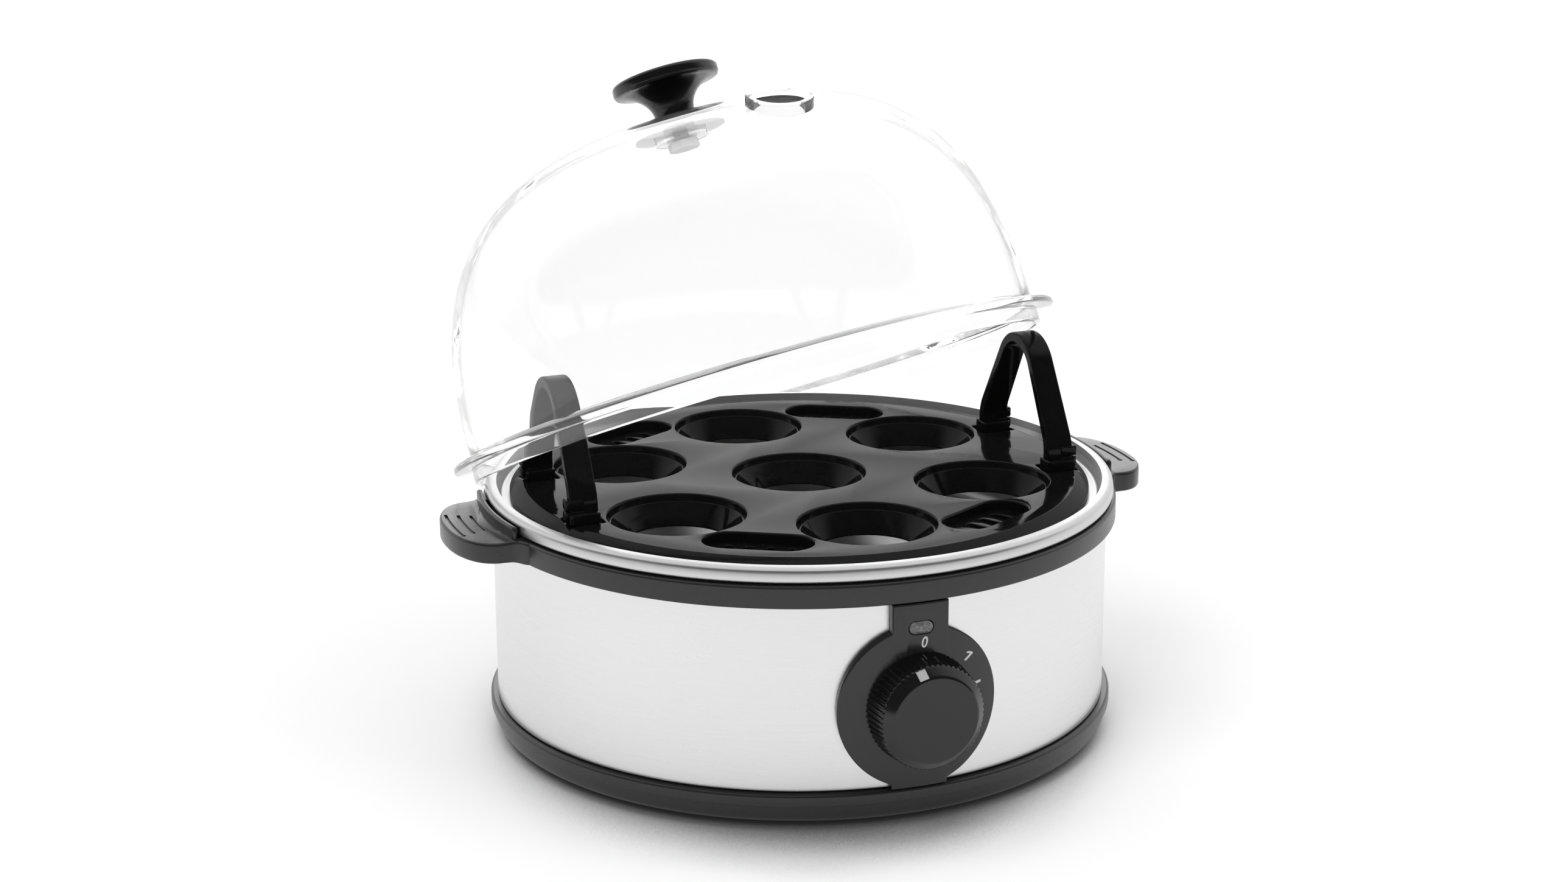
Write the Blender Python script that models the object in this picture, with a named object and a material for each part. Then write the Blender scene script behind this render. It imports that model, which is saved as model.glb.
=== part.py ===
"""Commercial egg boiler: a round steamer with a seven seat tray and a loose domed lid.

The boiler stands on z = 0 with its axis on Z, its control panel facing -Y and the
two carrying ears on the left (-X) and the right (+X). The lid is taken off its seat
and leans backwards: its rim rests on the top of the right tray handle in front and
hangs over the edge of the housing behind.
"""

import math

import bmesh
import bpy
from mathutils import Matrix, Vector

MM = 0.001

# Fits and fineness
GAP = 0.3 * MM
OVERRUN = 1.0 * MM
MERGE_DISTANCE = 0.001 * MM
RING_SIDES = 36
CUP_SIDES = 18
POST_SIDES = 12
PIN_SIDES = 8
SLOT_END_STEPS = 3
SMALL_ROUND = 1.0 * MM
ROUND_REACH_SHARE = 0.48
ARC_STEP = math.radians(46)
SMOOTH_ANGLE = math.radians(34)

# Housing: base, steel wall and upper collar
WALL_SHEET = 0.7 * MM
FOOT_SHOWN = 1.2 * MM
BASE_HEIGHT = 7.2 * MM
BASE_OVERHANG = 2.3 * MM
BASE_INSET = 0.5 * MM
BASE_BAND = 3.0 * MM
BASE_STEP = 0.6 * MM
BASE_FLANK = 2.0 * MM
BASE_FLANK_SHARES = ((1.0, 0.0), (0.42, 0.22), (0.1, 0.58), (0.0, 1.0))
BASE_FLOOR = 2.4 * MM
UPSTAND_SHEET = 1.3 * MM
UPSTAND_HEIGHT = 5.0 * MM
FIT_PLAY = 0.4 * MM
EDGE_ROUND = 0.7 * MM
COLLAR_HEIGHT = 5.3 * MM
COLLAR_FLANGE = 2.4 * MM
COLLAR_DOWNSTAND = 5.6 * MM

# Feet, posts and screws below
FOOT_COUNT = 4
FOOT_RADIUS = 7.0 * MM
FOOT_SINK = 1.0 * MM
FOOT_EDGE = 0.5 * MM
FOOT_INSET = 2.4 * MM
POST_COUNT = 4
POST_RADIUS = 4.2 * MM
POST_TOP = 25.0 * MM
POST_SHOULDER = 2.5 * MM
LEG_RADIUS = 3.8 * MM
LEG_HOLE_DEPTH = 13.0 * MM
LEG_ROOT_SHARE = 1 / 3
SCREW_RADIUS = 1.4 * MM
SCREW_HEAD_RADIUS = 2.7 * MM
SCREW_HEAD_HEIGHT = 2.0 * MM
SCREW_REACH = 12.0 * MM
INTAKE_COUNT = 8
INTAKE_LENGTH = 20.0 * MM
INTAKE_WIDTH = 3.2 * MM
INTAKE_INSET = 41.6 * MM
INTAKE_END_STEPS = 2

# Carrying ears on the collar
EAR_REACH = 12.2 * MM
EAR_THICKNESS = 5.0 * MM
EAR_HALF_ANGLE = math.radians(16.0)
EAR_ROOT_STEPS = 6
EAR_SHAPE_SHARES = (
    (0.0, 1.0), (0.13, 0.83), (0.30, 0.80), (0.47, 0.78), (0.66, 0.70),
    (0.82, 0.56), (0.93, 0.39), (0.985, 0.20),
)
FENCE_WIDTH = 1.4 * MM
FENCE_RISE = 3.2 * MM
FENCE_ROUND = 0.5 * MM
FENCE_FOOT = 0.7 * MM
FENCE_FOOT_RISE = 0.5 * MM
FENCE_HALF_ANGLE = math.radians(12.5)
SLOT_WIDTH = 1.5 * MM
SLOT_DEPTH = 2.1 * MM
SLOT_HALF_ANGLE = math.radians(12.0)
GROOVE_FIRST = 4.2 * MM
GROOVE_PITCH = 2.85 * MM
GROOVE_WIDTH = 1.0 * MM
GROOVE_DEPTH = 0.6 * MM
GROOVE_HALF_ANGLES = tuple(math.radians(angle) for angle in (4.2, 5.0, 5.8))

# Steel bowl that holds the water
BOWL_SHEET = 0.8 * MM
RIM_OUT = 1.6 * MM
RIM_HEIGHT = 3.7 * MM
RIM_FOLD = 2.8 * MM
RIM_LEAN = 1.2 * MM
RIM_HOLLOW = 2.4 * MM
RIM_BEND_SHARE = 1 / 3
RIM_BEAD_SHARES = ((0.5, 0.91), (0.87, 0.67), (1.0, 0.35), (0.88, 0.12), (0.6, 0.0))
LEDGE_DROP = 3.6 * MM
LEDGE_WIDTH = 8.4 * MM
BOWL_DRAFT = 3.0 * MM
BOWL_ROUND = 4.0 * MM
BOWL_NOTCH = 2.2 * MM
SEAL_WIDTH = 2.4 * MM
SEAL_HEIGHT = 1.0 * MM
SEAL_INSET = 0.8 * MM

# Heater under the bowl
PLATE_INSET = 12.2 * MM
PLATE_THICKNESS = 3.0 * MM
STUD_RADIUS = 2.0 * MM
ELEMENT_INSET = 12.0 * MM
ELEMENT_TUBE = 3.2 * MM
ELEMENT_OPENING = math.radians(34.0)
ELEMENT_DROP = 9.0 * MM
ELEMENT_BEND = 5.0 * MM
ELEMENT_SIDES = 8
ELEMENT_STEPS = 18
ELEMENT_BEND_STEPS = 2
CLAMP_OVERHANG = 2.0 * MM
CLAMP_WIDTH = 10.0 * MM
CLAMP_THICKNESS = 1.2 * MM
NUT_HEIGHT = 3.0 * MM
NUT_RADIUS = 4.0 * MM
HEXAGON = 6
STUD_TIP = 1.0 * MM
THERMOSTAT_RADIUS = 8.0 * MM
THERMOSTAT_CAP = 4.5 * MM
THERMOSTAT_BODY_RADIUS = 6.6 * MM
THERMOSTAT_BODY = 4.0 * MM
TAB_WIDTH = 4.0 * MM
TAB_THICKNESS = 0.8 * MM
TAB_LENGTH = 6.0 * MM
FUSE_RADIUS = 1.9 * MM
FUSE_LENGTH = 10.0 * MM
FUSE_TIP = 1.2 * MM

# Control panel, lamp, dial and regulator
PANEL_SHEET = 1.9 * MM
PANEL_CIRCLE = 19.5 * MM
PANEL_NECK_WIDTH = 13.8 * MM
PANEL_NECK_LENGTH = 5.3 * MM
DIAL_ARC_STEPS = 14
LENS_DROP = 5.8 * MM
LENS_LENGTH = 6.3 * MM
LENS_WIDTH = 3.4 * MM
LENS_PROUD = 0.3 * MM
LENS_SOCKET_RADIUS = 3.2 * MM
LENS_SOCKET_LENGTH = 5.0 * MM
LAMP_RADIUS = 1.9 * MM
LAMP_LENGTH = 7.4 * MM
PANEL_BOSS_PLACE = 15.6 * MM
PANEL_BOSS_RADIUS = 2.6 * MM
PANEL_BOSS_REACH = 7.8 * MM
BRACKET_SHEET = 1.2 * MM
BRACKET_HEIGHT = 18.0 * MM
BRACKET_MARGIN = 3.4 * MM
BRACKET_SCREW_RADIUS = 1.2 * MM
BRACKET_SCREW_HEAD = 2.4 * MM
BRACKET_SCREW_HEAD_HEIGHT = 1.7 * MM
BRACKET_SCREW_REACH = 6.0 * MM
REGULATOR_WIDTH = 22.0 * MM
REGULATOR_HEIGHT = 22.0 * MM
REGULATOR_DEPTH = 16.0 * MM
REGULATOR_ROOM = 2.0 * MM
SHAFT_RADIUS = 3.0 * MM
SHAFT_FLAT = 1.2 * MM
BUSH_WALL = 1.5 * MM
BUSH_TIP = 2.0 * MM
SHAFT_SEAT = 5.0 * MM
REGULATOR_NUT_RADIUS = 7.0 * MM
REGULATOR_NUT_HEIGHT = 2.4 * MM
DIAL_BASE_RADIUS = 13.2 * MM
DIAL_EDGE_RADIUS = 12.5 * MM
DIAL_FACE_RADIUS = 10.0 * MM
DIAL_LENGTH = 8.9 * MM
DIAL_CHAMFER = 2.0 * MM
DIAL_PLAY = 0.4 * MM
DIAL_RIBS = 60
RIB_POINTS = 2
DIAL_RIB_DEPTH = 0.45 * MM
DIAL_BORE_DEPTH = 6.6 * MM
POINTER_ANGLE = math.radians(18.0)
POINTER_WIDTH = 3.0 * MM
POINTER_DEPTH = 1.1 * MM

# Wiring pieces in the base
TERMINAL_LENGTH = 26.0 * MM
TERMINAL_WIDTH = 11.0 * MM
TERMINAL_HEIGHT = 9.0 * MM
TERMINAL_INSET = 29.6 * MM
TERMINAL_BOSS_RADIUS = 4.0 * MM
TERMINAL_BOSS_HEIGHT = 3.0 * MM
TERMINAL_POLES = 2
TERMINAL_POLE_PITCH = 15.0 * MM
TERMINAL_POLE_RADIUS = 2.2 * MM
GLAND_HEIGHT = 21.0 * MM
GLAND_RADIUS = 7.0 * MM
GLAND_STEM_RADIUS = 5.2 * MM
GLAND_BORE = 3.6 * MM
GLAND_FLANGE = 2.4 * MM
GLAND_TAPER_SHARE = 1 / 3

# Egg tray
CHANNEL_WIDTH = 2.0 * MM
TRAY_SHEET = 1.8 * MM
TRAY_RISE = 3.0 * MM
TRAY_BEVEL = 3.4 * MM
TRAY_EDGE = 1.1 * MM
SEAT_COUNT = 6
SEAT_SPACING = 12.5 * MM
SEAT_MARGIN = 9.6 * MM
SEAT_RADIUS = 16.5 * MM
SEAT_STEP = 0.9 * MM
SEAT_STEP_DEPTH = 1.6 * MM
SEAT_DEPTH = 7.0 * MM
SEAT_MOUTH = 12.4 * MM
SEAT_WALL = 1.4 * MM
STEAM_ANGLES = tuple(math.radians(angle) for angle in (60.0, 120.0, 240.0, 300.0))
STEAM_INSET = 14.6 * MM
STEAM_LENGTH = 26.0 * MM
STEAM_WIDTH = 12.0 * MM
STEAM_DEPTH = 2.5 * MM
STEAM_WALL = 1.4 * MM
STEAM_SLOT_COUNT = 4
STEAM_SLOT_PITCH = 5.0 * MM
STEAM_SLOT_WIDTH = 2.0 * MM
STEAM_SLOT_LENGTH = 7.0 * MM
STEAM_SLOT_END_STEPS = 1
WELL_DEPTH = 0.8 * MM
WELL_MARGIN = 0.8 * MM

# Tray handles
HANDLE_INSET = 10.1 * MM
HANDLE_WIDTH = 6.0 * MM
HANDLE_SPAN = 38.6 * MM
HANDLE_STRAP = 2.8 * MM
HANDLE_LEAN = math.radians(31.7)
HANDLE_ARC = 11.2 * MM
HANDLE_HEIGHT = 30.1 * MM
HANDLE_ARC_STEPS = 8
HANDLE_PAD_WIDTH = 7.5 * MM
HANDLE_PAD_LENGTH = 6.0 * MM
HANDLE_PAD_HEIGHT = 2.8 * MM
LATCH_REACH = 1.5 * MM
LATCH_HEIGHT = 2.4 * MM
LATCH_PITCH = 2.7 * MM
LATCH_FIRST = 1.5 * MM
LATCH_COUNT = 2
HANDLE_SCREW_RADIUS = 1.1 * MM
HANDLE_SCREW_HEAD = 2.3 * MM

# Domed lid
LID_SHEET = 1.8 * MM
LID_PLAY = 0.3 * MM
LID_SKIRT = 3.55 * MM
LID_FLANGE_OVERLAP = 2.9 * MM
LID_FLANGE_EDGE = 1.5 * MM
LID_FLANGE_HEIGHT = 3.05 * MM
LID_SHOULDER = 0.5 * MM
LID_RISE = 66.8 * MM
LID_SIDE_POWER = 3.24
LID_TOP_POWER = 2.36
LID_OUTER_STEPS = 9
LID_INNER_STEPS = 6
LID_TILT = math.radians(24.24)
LID_LEAN_AZIMUTH = math.radians(111.4)
LID_SAMPLES = 720
LID_SETTLING_ROUNDS = 12
VENT_INSET = 24.3 * MM
VENT_AZIMUTH = math.radians(171.0)
VENT_HOLE = 6.3 * MM
VENT_RING_WIDTH = 1.95 * MM
VENT_RING_HEIGHT = 2.0 * MM
VENT_RING_ROOT = 1.2 * MM
SLOPE_STEP_SHARE = 0.001

# Lid knob
KNOB_WASHER_RADIUS = 11.8 * MM
KNOB_WASHER_HEIGHT = 1.2 * MM
KNOB_NECK_RADIUS = 5.1 * MM
KNOB_NECK_HEIGHT = 3.6 * MM
KNOB_FLARE_HEIGHT = 4.8 * MM
KNOB_RADIUS = 13.7 * MM
KNOB_EDGE = 3.0 * MM
KNOB_CROWN = 1.7 * MM
KNOB_EDGE_ROUND = 1.0 * MM
KNOB_FLARE_STEPS = 5
KNOB_CROWN_SHARES = ((2 / 3, 2 / 3), (1 / 3, 1.0), (0.0, 1.0))
KNOB_SCREW_RADIUS = 2.0 * MM
KNOB_SCREW_HEAD = 4.0 * MM
KNOB_SCREW_HEAD_HEIGHT = 2.3 * MM
KNOB_SCREW_GRIP = 6.5 * MM
INNER_WASHER_RADIUS = 7.0 * MM
INNER_WASHER_HEIGHT = 1.0 * MM

# Heights up the housing
BASE_BOTTOM = FOOT_SHOWN
FLOOR_TOP = BASE_BOTTOM + BASE_FLOOR
BASE_LEDGE = BASE_BOTTOM + BASE_HEIGHT
UPSTAND_TOP = BASE_LEDGE + UPSTAND_HEIGHT
WALL_BOTTOM = BASE_LEDGE + GAP
WALL_TOP = WALL_BOTTOM + 2 * PANEL_CIRCLE + PANEL_NECK_LENGTH
DIAL_HEIGHT = WALL_BOTTOM + PANEL_CIRCLE
LENS_HEIGHT = WALL_TOP - LENS_DROP
COLLAR_BOTTOM = WALL_TOP + GAP
COLLAR_TOP = COLLAR_BOTTOM + COLLAR_HEIGHT
LIP_BOTTOM = COLLAR_TOP + GAP
RIM_TOP = LIP_BOTTOM + RIM_HEIGHT
LEDGE_TOP = RIM_TOP - LEDGE_DROP
BOWL_FLOOR_BOTTOM = DIAL_HEIGHT + REGULATOR_HEIGHT / 2 + REGULATOR_ROOM
BOWL_FLOOR_TOP = BOWL_FLOOR_BOTTOM + BOWL_SHEET
COLLAR_FLANGE_TOP = LEDGE_TOP - BOWL_SHEET - GAP
COLLAR_FLANGE_BOTTOM = COLLAR_FLANGE_TOP - COLLAR_FLANGE
DOWNSTAND_BOTTOM = COLLAR_BOTTOM - COLLAR_DOWNSTAND
EAR_TOP = COLLAR_BOTTOM + EAR_THICKNESS
PLATE_TOP = BOWL_FLOOR_BOTTOM - GAP
PLATE_BOTTOM = PLATE_TOP - PLATE_THICKNESS
ELEMENT_HEIGHT = PLATE_BOTTOM - GAP - ELEMENT_TUBE
CLAMP_TOP = ELEMENT_HEIGHT - ELEMENT_TUBE - GAP
CLAMP_BOTTOM = CLAMP_TOP - CLAMP_THICKNESS
NUT_TOP = CLAMP_BOTTOM - GAP
NUT_BOTTOM = NUT_TOP - NUT_HEIGHT
TRAY_BOTTOM = LEDGE_TOP + GAP
DECK_TOP = TRAY_BOTTOM + TRAY_RISE
DECK_BOTTOM = DECK_TOP - TRAY_SHEET
HANDLE_SCREW_HEAD_HEIGHT = DECK_BOTTOM - GAP - TRAY_BOTTOM

# Radii, from the seats out to the wall and the base
SEAT_PITCH = 2 * SEAT_RADIUS + SEAT_SPACING
TRAY_RADIUS = SEAT_PITCH + SEAT_RADIUS + SEAT_MARGIN
LEDGE_OUTER = TRAY_RADIUS + CHANNEL_WIDTH
LEDGE_INNER = LEDGE_OUTER - LEDGE_WIDTH
CREST_RADIUS = LEDGE_OUTER + RIM_LEAN
RIM_RADIUS = CREST_RADIUS + RIM_FOLD
WALL_RADIUS = RIM_RADIUS - RIM_OUT
WALL_INNER = WALL_RADIUS - WALL_SHEET
BASE_RADIUS = WALL_RADIUS + BASE_OVERHANG
UPSTAND_OUTER = WALL_INNER - FIT_PLAY
UPSTAND_INNER = UPSTAND_OUTER - UPSTAND_SHEET
COLLAR_SEAT_RADIUS = WALL_INNER
COLLAR_INNER = LEDGE_INNER + BOWL_SHEET + FIT_PLAY
BOWL_FOOT_RADIUS = LEDGE_INNER - BOWL_DRAFT
PLATE_RADIUS = BOWL_FOOT_RADIUS - BOWL_ROUND - PLATE_INSET
ELEMENT_RADIUS = PLATE_RADIUS - ELEMENT_INSET
THERMOSTAT_OFFSET = ELEMENT_RADIUS / 2
TERMINAL_PLACE = UPSTAND_INNER - TERMINAL_INSET
STEAM_PLACE = TRAY_RADIUS - STEAM_INSET
HANDLE_PLACE = TRAY_RADIUS - HANDLE_INSET
POST_PLACE = UPSTAND_INNER - LEG_RADIUS + FIT_PLAY
PANEL_INNER = WALL_RADIUS + GAP
PANEL_OUTER = PANEL_INNER + PANEL_SHEET
BRACKET_FRONT = WALL_INNER - PANEL_BOSS_REACH
BRACKET_BACK = BRACKET_FRONT - BRACKET_SHEET
REGULATOR_FRONT = BRACKET_BACK - GAP
DIAL_BACK = PANEL_OUTER + DIAL_PLAY
DIAL_FRONT = DIAL_BACK + DIAL_LENGTH
BUSH_RADIUS = SHAFT_RADIUS + GAP + BUSH_WALL
HANDLE_OUTER = HANDLE_PLACE + HANDLE_WIDTH / 2
LID_SKIRT_OUTER = LEDGE_OUTER - LID_PLAY
LID_SKIRT_INNER = TRAY_RADIUS + LID_PLAY
LID_FLANGE_RADIUS = CREST_RADIUS + LID_FLANGE_OVERLAP
LID_DOME_RADIUS = LID_SKIRT_OUTER - LID_SHOULDER
VENT_PLACE = LID_DOME_RADIUS - VENT_INSET
LID_DOME_BASE = LID_SKIRT + LID_FLANGE_HEIGHT
LID_TOP = LID_DOME_BASE + LID_RISE
KNOB_WASHER_BOTTOM = LID_TOP + GAP
KNOB_BOTTOM = KNOB_WASHER_BOTTOM + KNOB_WASHER_HEIGHT + GAP

# Turning frames: boiler front, boiler back, and the side that a handle stands on
FRONT_TURN = Matrix.Rotation(math.pi / 2, 4, 'X')
BACK_TURN = Matrix.Rotation(-math.pi / 2, 4, 'X')
SIDE_TURN = Matrix(((0, 0, 1, 0), (1, 0, 0, 0), (0, 1, 0, 0), (0, 0, 0, 1)))


def clear_scene():
    """Take every object out of the open file."""
    for thing in list(bpy.data.objects):
        bpy.data.objects.remove(thing, do_unlink=True)


def finish(name, colour, roughness, metallic=0.0):
    """Make one Principled material."""
    made = bpy.data.materials.new(name)
    made.use_nodes = True
    shader = made.node_tree.nodes["Principled BSDF"]
    shader.inputs["Base Color"].default_value = (*colour, 1.0)
    shader.inputs["Roughness"].default_value = roughness
    shader.inputs["Metallic"].default_value = metallic
    made.diffuse_color = (*colour, 1.0)
    return made


def mesh_from(shape):
    """Turn a bmesh into a mesh with its faces pointing out."""
    bmesh.ops.recalc_face_normals(shape, faces=shape.faces)
    mesh = bpy.data.meshes.new("shape")
    shape.to_mesh(mesh)
    shape.free()
    return mesh


def rounded(corners):
    """Give an outline in which each corner with a third value is an arc of that radius."""
    points = []
    for index, corner in enumerate(corners):
        here = Vector(corner[:2])
        if len(corner) == 2:
            points.append(here)
            continue
        before = Vector(corners[index - 1][:2]) - here
        after = Vector(corners[(index + 1) % len(corners)][:2]) - here
        half_turn = before.angle(after) / 2
        reach = corner[2] / math.tan(half_turn)
        reach = min(reach, min(before.length, after.length) * ROUND_REACH_SHARE)
        radius = reach * math.tan(half_turn)
        inward = (before.normalized() + after.normalized()).normalized()
        centre = here + inward * (radius / math.sin(half_turn))
        start = here + before.normalized() * reach - centre
        end = here + after.normalized() * reach - centre
        sweep = math.pi - 2 * half_turn
        if start.x * end.y - start.y * end.x < 0:
            sweep = -sweep
        steps = max(1, math.ceil(abs(sweep) / ARC_STEP)) if radius > SMALL_ROUND else 1
        for step in range(steps + 1):
            points.append(centre + Matrix.Rotation(sweep * step / steps, 2) @ start)
    return points


def lathe(outline, sides=RING_SIDES):
    """Turn an outline of (radius, height) about Z; one that starts on the axis is solid."""
    shape = bmesh.new()
    solid = outline[0][0] == 0
    profile = outline[1:-1] if solid else outline
    rings = []
    for radius, height in profile:
        ring = []
        for side in range(sides):
            angle = 2 * math.pi * side / sides
            place = (radius * math.cos(angle), radius * math.sin(angle), height)
            ring.append(shape.verts.new(place))
        rings.append(ring)
    followers = rings[1:] if solid else rings[1:] + rings[:1]
    for ring, follower in zip(rings, followers):
        for side in range(sides):
            after = (side + 1) % sides
            shape.faces.new((ring[side], ring[after], follower[after], follower[side]))
    if solid:
        shape.faces.new(rings[0])
        shape.faces.new(rings[-1])
    return mesh_from(shape)


def loft(rings):
    """Skin closed rings of equally many points and close both ends."""
    shape = bmesh.new()
    rows = [[shape.verts.new(point) for point in ring] for ring in rings]
    for row, follower in zip(rows, rows[1:]):
        for side in range(len(row)):
            after = (side + 1) % len(row)
            shape.faces.new((row[side], row[after], follower[after], follower[side]))
    shape.faces.new(rows[0])
    shape.faces.new(rows[-1])
    return mesh_from(shape)


def prism(outline, low, high):
    """Extrude a flat outline along Z."""
    return loft([[(x, y, height) for x, y in outline] for height in (low, high)])


def sector(outline, half_angle, middle=0.0):
    """Sweep an outline of (radius, height) about Z through twice the half angle."""
    step_angle = 2 * math.pi / RING_SIDES
    steps = max(2, math.ceil(2 * half_angle / step_angle))
    rings = []
    for step in range(steps + 1):
        angle = middle - half_angle + 2 * half_angle * step / steps
        turn = (math.cos(angle), math.sin(angle))
        rings.append([(radius * turn[0], radius * turn[1], height) for radius, height in outline])
    return loft(rings)


def block(low, high):
    """Make a box between two corners."""
    corners = [(low[0], low[1]), (high[0], low[1]), (high[0], high[1]), (low[0], high[1])]
    return prism(corners, low[2], high[2])


def rod(radius, low, high, sides=PIN_SIDES):
    """Make a plain cylinder on Z."""
    return lathe([(0, low), (radius, low), (radius, high), (0, high)], sides)


def stadium(length, width, steps=SLOT_END_STEPS):
    """Give the outline of a slot with round ends, along X."""
    radius = width / 2
    middle = length / 2 - radius
    points = []
    for side in (1, -1):
        for step in range(steps + 1):
            angle = math.pi * (step / steps - 0.5)
            points.append((side * (middle + radius * math.cos(angle)), side * radius * math.sin(angle)))
    return points


def moved(mesh, matrix):
    """Transform a mesh and hand it back."""
    mesh.transform(matrix)
    return mesh


def shifted(mesh, x=0.0, y=0.0, z=0.0):
    """Move a mesh and hand it back."""
    return moved(mesh, Matrix.Translation((x, y, z)))


def turned(mesh, angle):
    """Turn a mesh about Z and hand it back."""
    return moved(mesh, Matrix.Rotation(angle, 4, 'Z'))


def together(meshes):
    """Put shapes that stand clear of each other into one mesh."""
    shape = bmesh.new()
    for mesh in meshes:
        shape.from_mesh(mesh)
    return mesh_from(shape)


def combined(mesh, tool, operation):
    """Apply one exact boolean to a mesh."""
    body = bpy.data.objects.new("body", mesh)
    other = bpy.data.objects.new("other", tool)
    for thing in (body, other):
        bpy.context.scene.collection.objects.link(thing)
    modifier = body.modifiers.new("shape", 'BOOLEAN')
    modifier.operation = operation
    modifier.solver = 'EXACT'
    modifier.object = other
    graph = bpy.context.evaluated_depsgraph_get()
    result = bpy.data.meshes.new_from_object(body.evaluated_get(graph))
    for thing in (body, other):
        bpy.data.objects.remove(thing, do_unlink=True)
    return result


def cut(mesh, *tools):
    """Cut shapes that stand clear of each other out of a mesh."""
    return combined(mesh, together(tools), 'DIFFERENCE')


def fused(mesh, *tools):
    """Fuse shapes that stand clear of each other to a mesh."""
    return combined(mesh, together(tools), 'UNION')


def piece(name, mesh, look, holder=None):
    """Make the named object of one piece, on its holder if it has one."""
    shape = bmesh.new()
    shape.from_mesh(mesh)
    bmesh.ops.remove_doubles(shape, verts=shape.verts, dist=MERGE_DISTANCE)
    bmesh.ops.dissolve_degenerate(shape, edges=shape.edges, dist=MERGE_DISTANCE)
    shape.to_mesh(mesh)
    shape.free()
    mesh.name = name
    mesh.materials.clear()
    mesh.materials.append(look)
    mesh.shade_smooth()
    mesh.set_sharp_from_angle(angle=SMOOTH_ANGLE)
    made = bpy.data.objects.new(name, mesh)
    bpy.context.scene.collection.objects.link(made)
    made.parent = holder
    return made


def carrier(name, matrix):
    """Make the empty that a moving group hangs on."""
    made = bpy.data.objects.new(name, None)
    made.matrix_world = matrix
    bpy.context.scene.collection.objects.link(made)
    return made


def around(count, first=0.0):
    """Give evenly spaced angles about Z."""
    return [first + 2 * math.pi * index / count for index in range(count)]


def at(radius, angle):
    """Give the point at a radius and an angle about Z."""
    return (radius * math.cos(angle), radius * math.sin(angle))


def base_moulding():
    """Make the dish that closes the housing below, with its screw posts."""
    band = BASE_RADIUS - BASE_INSET
    flank_height = BASE_HEIGHT - BASE_BAND
    flank = []
    for inward, up in BASE_FLANK_SHARES:
        flank.append((band - BASE_STEP - BASE_FLANK * inward, BASE_BOTTOM + flank_height * up))
    body = lathe(rounded([
        (0, BASE_BOTTOM),
        *flank,
        (band, BASE_BOTTOM + flank_height + BASE_STEP / 2),
        (band, BASE_LEDGE, EDGE_ROUND),
        (UPSTAND_OUTER, BASE_LEDGE),
        (UPSTAND_OUTER, UPSTAND_TOP),
        (UPSTAND_INNER, UPSTAND_TOP),
        (UPSTAND_INNER, FLOOR_TOP),
        (0, FLOOR_TOP),
    ]))
    root = FLOOR_TOP - BASE_FLOOR / 2
    added = []
    tools = []
    shoulder = POST_TOP - POST_SHOULDER
    bore = [
        (0, BASE_BOTTOM - OVERRUN),
        (SCREW_HEAD_RADIUS + FIT_PLAY, BASE_BOTTOM - OVERRUN),
        (SCREW_HEAD_RADIUS + FIT_PLAY, shoulder),
        (SCREW_RADIUS + GAP, shoulder),
        (SCREW_RADIUS + GAP, POST_TOP + OVERRUN),
        (0, POST_TOP + OVERRUN),
    ]
    for angle in around(POST_COUNT, math.pi / POST_COUNT):
        place = at(POST_PLACE, angle)
        added.append(shifted(rod(POST_RADIUS, root, POST_TOP, POST_SIDES), *place))
        tools.append(shifted(lathe(bore, PIN_SIDES), *place))
    boss_top = FLOOR_TOP + TERMINAL_BOSS_HEIGHT
    boss = rod(TERMINAL_BOSS_RADIUS, root, boss_top, POST_SIDES)
    added.append(shifted(boss, y=TERMINAL_PLACE))
    boss_hole = rod(BRACKET_SCREW_RADIUS + GAP, root, boss_top + OVERRUN)
    tools.append(shifted(boss_hole, y=TERMINAL_PLACE))
    recess_top = BASE_BOTTOM + FOOT_SINK + GAP
    for angle in around(FOOT_COUNT):
        recess = rod(FOOT_RADIUS + GAP, BASE_BOTTOM - OVERRUN, recess_top, CUP_SIDES)
        tools.append(shifted(recess, *at(foot_place(), angle)))
    intake = stadium(INTAKE_LENGTH, INTAKE_WIDTH, INTAKE_END_STEPS)
    for angle in around(INTAKE_COUNT, math.pi / INTAKE_COUNT):
        slot = prism(intake, BASE_BOTTOM - OVERRUN, FLOOR_TOP + OVERRUN)
        tools.append(turned(shifted(slot, x=UPSTAND_INNER - INTAKE_INSET), angle))
    return cut(fused(body, *added), *tools)


def foot_place():
    """Give the distance of the feet from the boiler's axis."""
    return UPSTAND_INNER - FOOT_RADIUS - FOOT_INSET


def foot():
    """Make one rubber foot, standing on z = 0."""
    top = BASE_BOTTOM + FOOT_SINK
    return lathe([
        (0, 0), (FOOT_RADIUS - FOOT_EDGE, 0), (FOOT_RADIUS, FOOT_EDGE), (FOOT_RADIUS, top), (0, top),
    ], CUP_SIDES)


def headed_screw(radius, reach, head_radius, head_height):
    """Make a screw pointing up, with the underside of its head at z = 0."""
    return lathe([
        (0, -head_height), (head_radius, -head_height), (head_radius, 0),
        (radius, 0), (radius, reach), (0, reach),
    ], PIN_SIDES)


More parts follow.
